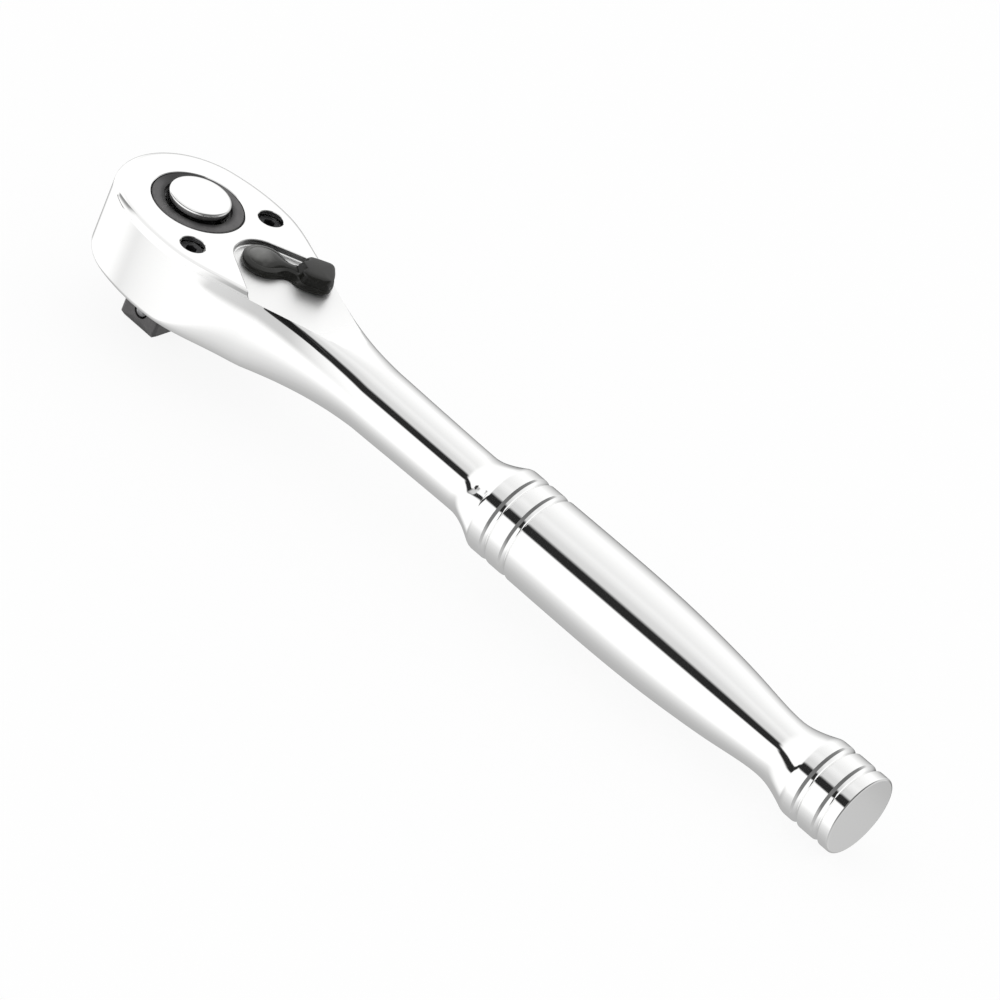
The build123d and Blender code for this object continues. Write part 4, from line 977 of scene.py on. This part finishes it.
def lathe(name, profile, count=128):
    """A piece turned about the drive axis; profile is a closed line of (radius, z)."""
    form = bmesh.new()
    join_rings(form, [round_loop(radius, z, count) for radius, z in profile], closed=True)
    bmesh.ops.remove_doubles(form, verts=form.verts, dist=1e-7)
    loose = [edge for edge in form.edges if not edge.link_faces]
    bmesh.ops.delete(form, geom=loose, context="EDGES")
    bmesh.ops.recalc_face_normals(form, faces=form.faces)
    return built(name, form)


cup = [
    (PLUNGER_HOLE, BOSS_BASE),
    (BOSS_RADIUS, BOSS_BASE),
    (BOSS_RADIUS, BUTTON_ROOF),
    (CUP_RADIUS, BUTTON_ROOF),
    (CUP_RADIUS, FLANGE_BASE + 0.1),
    (CUP_RADIUS + 0.1, FLANGE_BASE),
    (FLANGE_RADIUS - 0.1, FLANGE_BASE),
    (FLANGE_RADIUS, FLANGE_BASE + 0.1),
    (FLANGE_RADIUS, FLANGE_TOP - 0.1),
    (FLANGE_RADIUS - 0.1, FLANGE_TOP),
    (BUTTON_RADIUS + 0.05, FLANGE_TOP),
    (BUTTON_RADIUS, FLANGE_TOP + 0.05),
]
for i in range(13):
    a = math.pi / 2 * i / 12
    z = BUTTON_TOP - BUTTON_DOME - BUTTON_EDGE * (1 - math.sin(a))
    cup.append((BUTTON_RADIUS - BUTTON_EDGE * (1 - math.cos(a)), z))
for i in range(1, 9):
    share = 1 - i / 8
    cup.append(((BUTTON_RADIUS - BUTTON_EDGE) * share, BUTTON_TOP - BUTTON_DOME * share**2))
cup += [(0.0, BUTTON_TOP - PLUNGER_DEPTH), (PLUNGER_HOLE, BUTTON_TOP - PLUNGER_DEPTH)]
release_button = lathe("domed_button", cup)
release_button.data.materials.append(chrome)
finished(release_button, "button", "release_button")

wire, drawn = new_finish("drawn_wire")
place = drawn.add("TexCoord")["Object"]
clouds = drawn.add("TexNoise", Vector=place, Scale=2600.0, Detail=3.0, Roughness=0.55)["Fac"]
tone = grade(drawn, clouds, (0.3, (0.36, 0.35, 0.34)), (0.7, (0.5, 0.49, 0.48)))
rough = clouds * 0.15 + 0.25
steel = drawn.add("BsdfPrincipled", Base_Color=tone, Metallic=1.0, Roughness=rough)
close(drawn, steel["BSDF"])
carry(wire, "lever_detent_spring", "lever_clip")
release_spring = copied("coil_spring", "release_spring")
release_spring.data.materials.append(wire)
finished(release_spring, "button", "release_spring")
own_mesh(release_spring)

# ------------------------------------------------------------------ detent ball
# Bearing ball that stands out of the square's face and holds the socket. It is hardened and
# lapped, and has dulled a little with use.
BALL_PLACE = Vector((0.0, -3.72, -7.6))
BALL_RADIUS = 1.6

form = bmesh.new()
bmesh.ops.create_icosphere(form, subdivisions=5, radius=BALL_RADIUS / 1000)
form.transform(Matrix.Translation(BALL_PLACE / 1000))
detent_ball = built("bearing_ball", form)
finished(detent_ball, "ball", "detent_ball", crease=60.0)
lapped, lap = new_finish("lapped_steel")
place = lap.add("TexCoord")["Object"]
clouds = lap.add("TexNoise", Vector=place, Scale=1200.0, Detail=3.0, Roughness=0.5)["Fac"]
tone = grade(lap, clouds, (0.3, (0.24, 0.24, 0.245)), (0.7, (0.30, 0.30, 0.305)))
rough = clouds * 0.1 + 0.12
steel = lap.add("BsdfPrincipled", Base_Color=tone, Metallic=1.0, Roughness=rough)
close(lap, steel["BSDF"])
detent_ball.data.materials.append(lapped)

# ------------------------------------------------------------------ reversing lever
# Die cast in one piece and coated satin black: a round hub with a bevelled rim and a low
# dome, a narrow waist, and a thumb tab with a square end. It is pressed on its spindle and
# lies flat on its step, thrown to one side.
LEVER_BASE = 16.55
LEVER_RIM = 17.95           # top of the wall all round
LEVER_FOOT = 0.18           # height of its rounded lower edge
LEVER_THROW = 36.0
HUB_RADIUS = 4.5
TAB_END = 13.9              # from the pivot, with a bulge and two round corners
TAB_BULGE = 0.25
TAB_CORNER = 1.9
TAB_HALF = 4.0
FLANK = (                   # x, half width and slope from the hub by the waist to the tab
    (1.90, 4.08, -0.466),
    (5.5, 2.3, -0.05),
    (7.0, 3.25, 0.60),
    (8.6, 3.85, 0.16),
    (12.0, 4.0, 0.0),
)
HUB_STEPS = (               # inset from the rim and rise over it: bevel, groove, foot of the dome
    (0.0, 0.0),
    (0.06, 0.04),
    (0.14, 0.07),
    (0.25, 0.11),
    (0.40, 0.16),
    (0.55, 0.21),
    (0.70, 0.26),
    (0.84, 0.31),
    (0.94, 0.33),
    (1.01, 0.27),
    (1.10, 0.27),
    (1.18, 0.35),
)
HUB_CROWN = 0.95
TAB_STEPS = (               # the same for the tab: a narrow lip, its wall and its round edge
    (0.0, 0.0),
    (0.06, 0.01),
    (0.15, 0.03),
    (0.16, 0.40),
    (0.18, 0.85),
    (0.21, 1.20),
    (0.27, 1.50),
    (0.37, 1.78),
    (0.52, 2.00),
    (0.78, 2.15),
    (1.10, 2.23),
    (1.50, 2.28),
)
TAB_CROWN = 2.38
TAB_LIFT = 0.75             # how far the underside of the tab's end stands off the step
LIFT_START = 9.0
SPINE_END = 10.6            # the crown's middle line runs from the pivot to here
WAIST_DIP = 0.35            # of the crown at the waist
SPINDLE_SEAT = (2.22, 1.1)  # radius, and depth over the lever's base
SHEEN_PLACE = (0.0170, -0.0003)    # m: middle of a painted sheen, where the hub's coat is coloured lighter
SHEEN_EDGE = (0.0008, 0.0048)


def lever_outline():
    """Closed plan of the lever, from the tab's end round by its left side."""
    corner = (TAB_END - TAB_CORNER, TAB_HALF - TAB_CORNER)
    left = [(TAB_END + TAB_BULGE * (1 - (i / 10) ** 2), corner[1] * i / 10) for i in range(11)]
    left += [polar(corner, TAB_CORNER, 90.0 * i / 10) for i in range(1, 11)]
    left += smooth_run(FLANK, 12)[::-1][:-1]
    left += [polar((0.0, 0.0), HUB_RADIUS, 65.0 + 115.0 * i / 30) for i in range(31)]
    return left + [(x, -y) for x, y in reversed(left[1:-1])]


plan = lever_outline()
outward = []
for (x0, y0), (x1, y1) in zip(plan[-1:] + plan[:-1], plan[1:] + plan[:1]):
    length = math.hypot(x1 - x0, y1 - y0)
    outward.append(((y1 - y0) / length, (x0 - x1) / length))


def at_waist(x):
    """1 at the waist, 0 at the hub and at the tab."""
    return eased(x, 2.4, 5.2) * (1 - eased(x, 6.2, 8.6))


def between(x, hub, tab):
    """The hub's value on the hub and the waist, the tab's past the front of the tab."""
    return hub + (tab - hub) * eased(x, 5.9, 7.2)


def draft(x):
    """How far the wall leans in from the foot to the rim."""
    return 0.12 + 0.75 * at_waist(x)


def foot(x):
    """Height of the lever's underside."""
    return LEVER_BASE + TAB_LIFT * max((x - LIFT_START) / 5.0, 0.0) ** 1.5


def on_spine(x):
    """The place on the crown's middle line that is nearest to x."""
    return min(max(x, 0.0), SPINE_END)


def drawn_in(inset):
    """The plan drawn in by a function of its own x."""
    return [(x - inset(x) * nx, y - inset(x) * ny) for (x, y), (nx, ny) in zip(plan, outward)]


levels = [[(on_spine(x), 0.0, foot(on_spine(x))) for x, _ in plan]]
for inset, z in ((0.25, 0.0), (0.08, 0.05), (0.0, LEVER_FOOT)):
    levels.append([(x, y, foot(x) + z) for x, y in drawn_in(lambda x: inset)])
for share in (0.5, 1.0):
    loop = []
    for x, y in drawn_in(lambda x: share * (draft(x) - 0.04)):
        low = foot(x) + LEVER_FOOT
        loop.append((x, y, low + (LEVER_RIM - 0.05 - low) * share))
    levels.append(loop)
for hub, tab in zip(HUB_STEPS, TAB_STEPS):
    shelf = drawn_in(lambda x: draft(x) + between(x, hub[0] * (1 - 0.4 * at_waist(x)), tab[0]))
    loop = []
    for (x, y), (px, _) in zip(shelf, plan):
        loop.append((x, y, LEVER_RIM + between(px, hub[1], tab[1])))
    levels.append(loop)
for i in range(1, 13):
    t = i / 12
    swell = 1 - (1 - t) ** 2
    hub_rise = hub[1] + (HUB_CROWN - hub[1]) * swell
    tab_rise = tab[1] + (TAB_CROWN - tab[1]) * swell
    loop = []
    for (x, y), (px, _) in zip(shelf, plan):
        rise = between(px, hub_rise - WAIST_DIP * swell * at_waist(px), tab_rise)
        loop.append((x + (on_spine(px) - x) * t, y * (1 - t), LEVER_RIM + rise))
    levels.append(loop)
throw = Matrix.Rotation(math.radians(LEVER_THROW), 4, "Z")
thrown = Matrix.Translation((PIVOT, 0.0, 0.0)) @ throw
loops = [[tuple(thrown @ Vector(p)) for p in loop] for loop in levels]
reversing_lever = skin("cast_lever", loops, close_end=False)
seat_radius, seat_depth = SPINDLE_SEAT
seat = [(16.0, seat_radius), (LEVER_BASE + seat_depth, seat_radius)]
cut(reversing_lever, post("spindle_seat", (PIVOT, 0.0), seat, 64))
finished(reversing_lever, "lever", "reversing_lever", crease=65.0)

satin, paint = new_finish("satin_black")
place = paint.add("TexCoord")["Object"]
clouds = paint.add("TexNoise", Vector=place, Scale=260.0, Detail=3.0, Roughness=0.55)["Fac"]
grain = paint.add("TexNoise", Vector=place, Scale=4200.0, Detail=2.0, Roughness=0.5)["Fac"]
xyz = paint.add("SeparateXYZ", Vector=place)
# painted sheen: a lighter patch on the hub's dome, standing in for the light it reflects
off = (xyz["X"] - SHEEN_PLACE[0]) ** 2.0 + (xyz["Y"] - SHEEN_PLACE[1]) ** 2.0
painted_sheen = 1.0 - fade(paint, off**0.5, *SHEEN_EDGE)
tone = grade(
    paint,
    clouds * 0.7 + painted_sheen * 0.6,
    (0.2, (0.008, 0.008, 0.007)),
    (0.5, (0.014, 0.014, 0.012)),
    (1.0, (0.15, 0.15, 0.145)),
)
rough = clouds * 0.12 + 0.17
relief = paint.add("Bump", Strength=0.10, Distance=0.00003, Height=grain)["Normal"]
enamel = paint.add(
    "BsdfPrincipled", Base_Color=tone, Roughness=rough, Specular_IOR_Level=0.38, Normal=relief
)
close(paint, enamel["BSDF"])
reversing_lever.data.materials.append(satin)
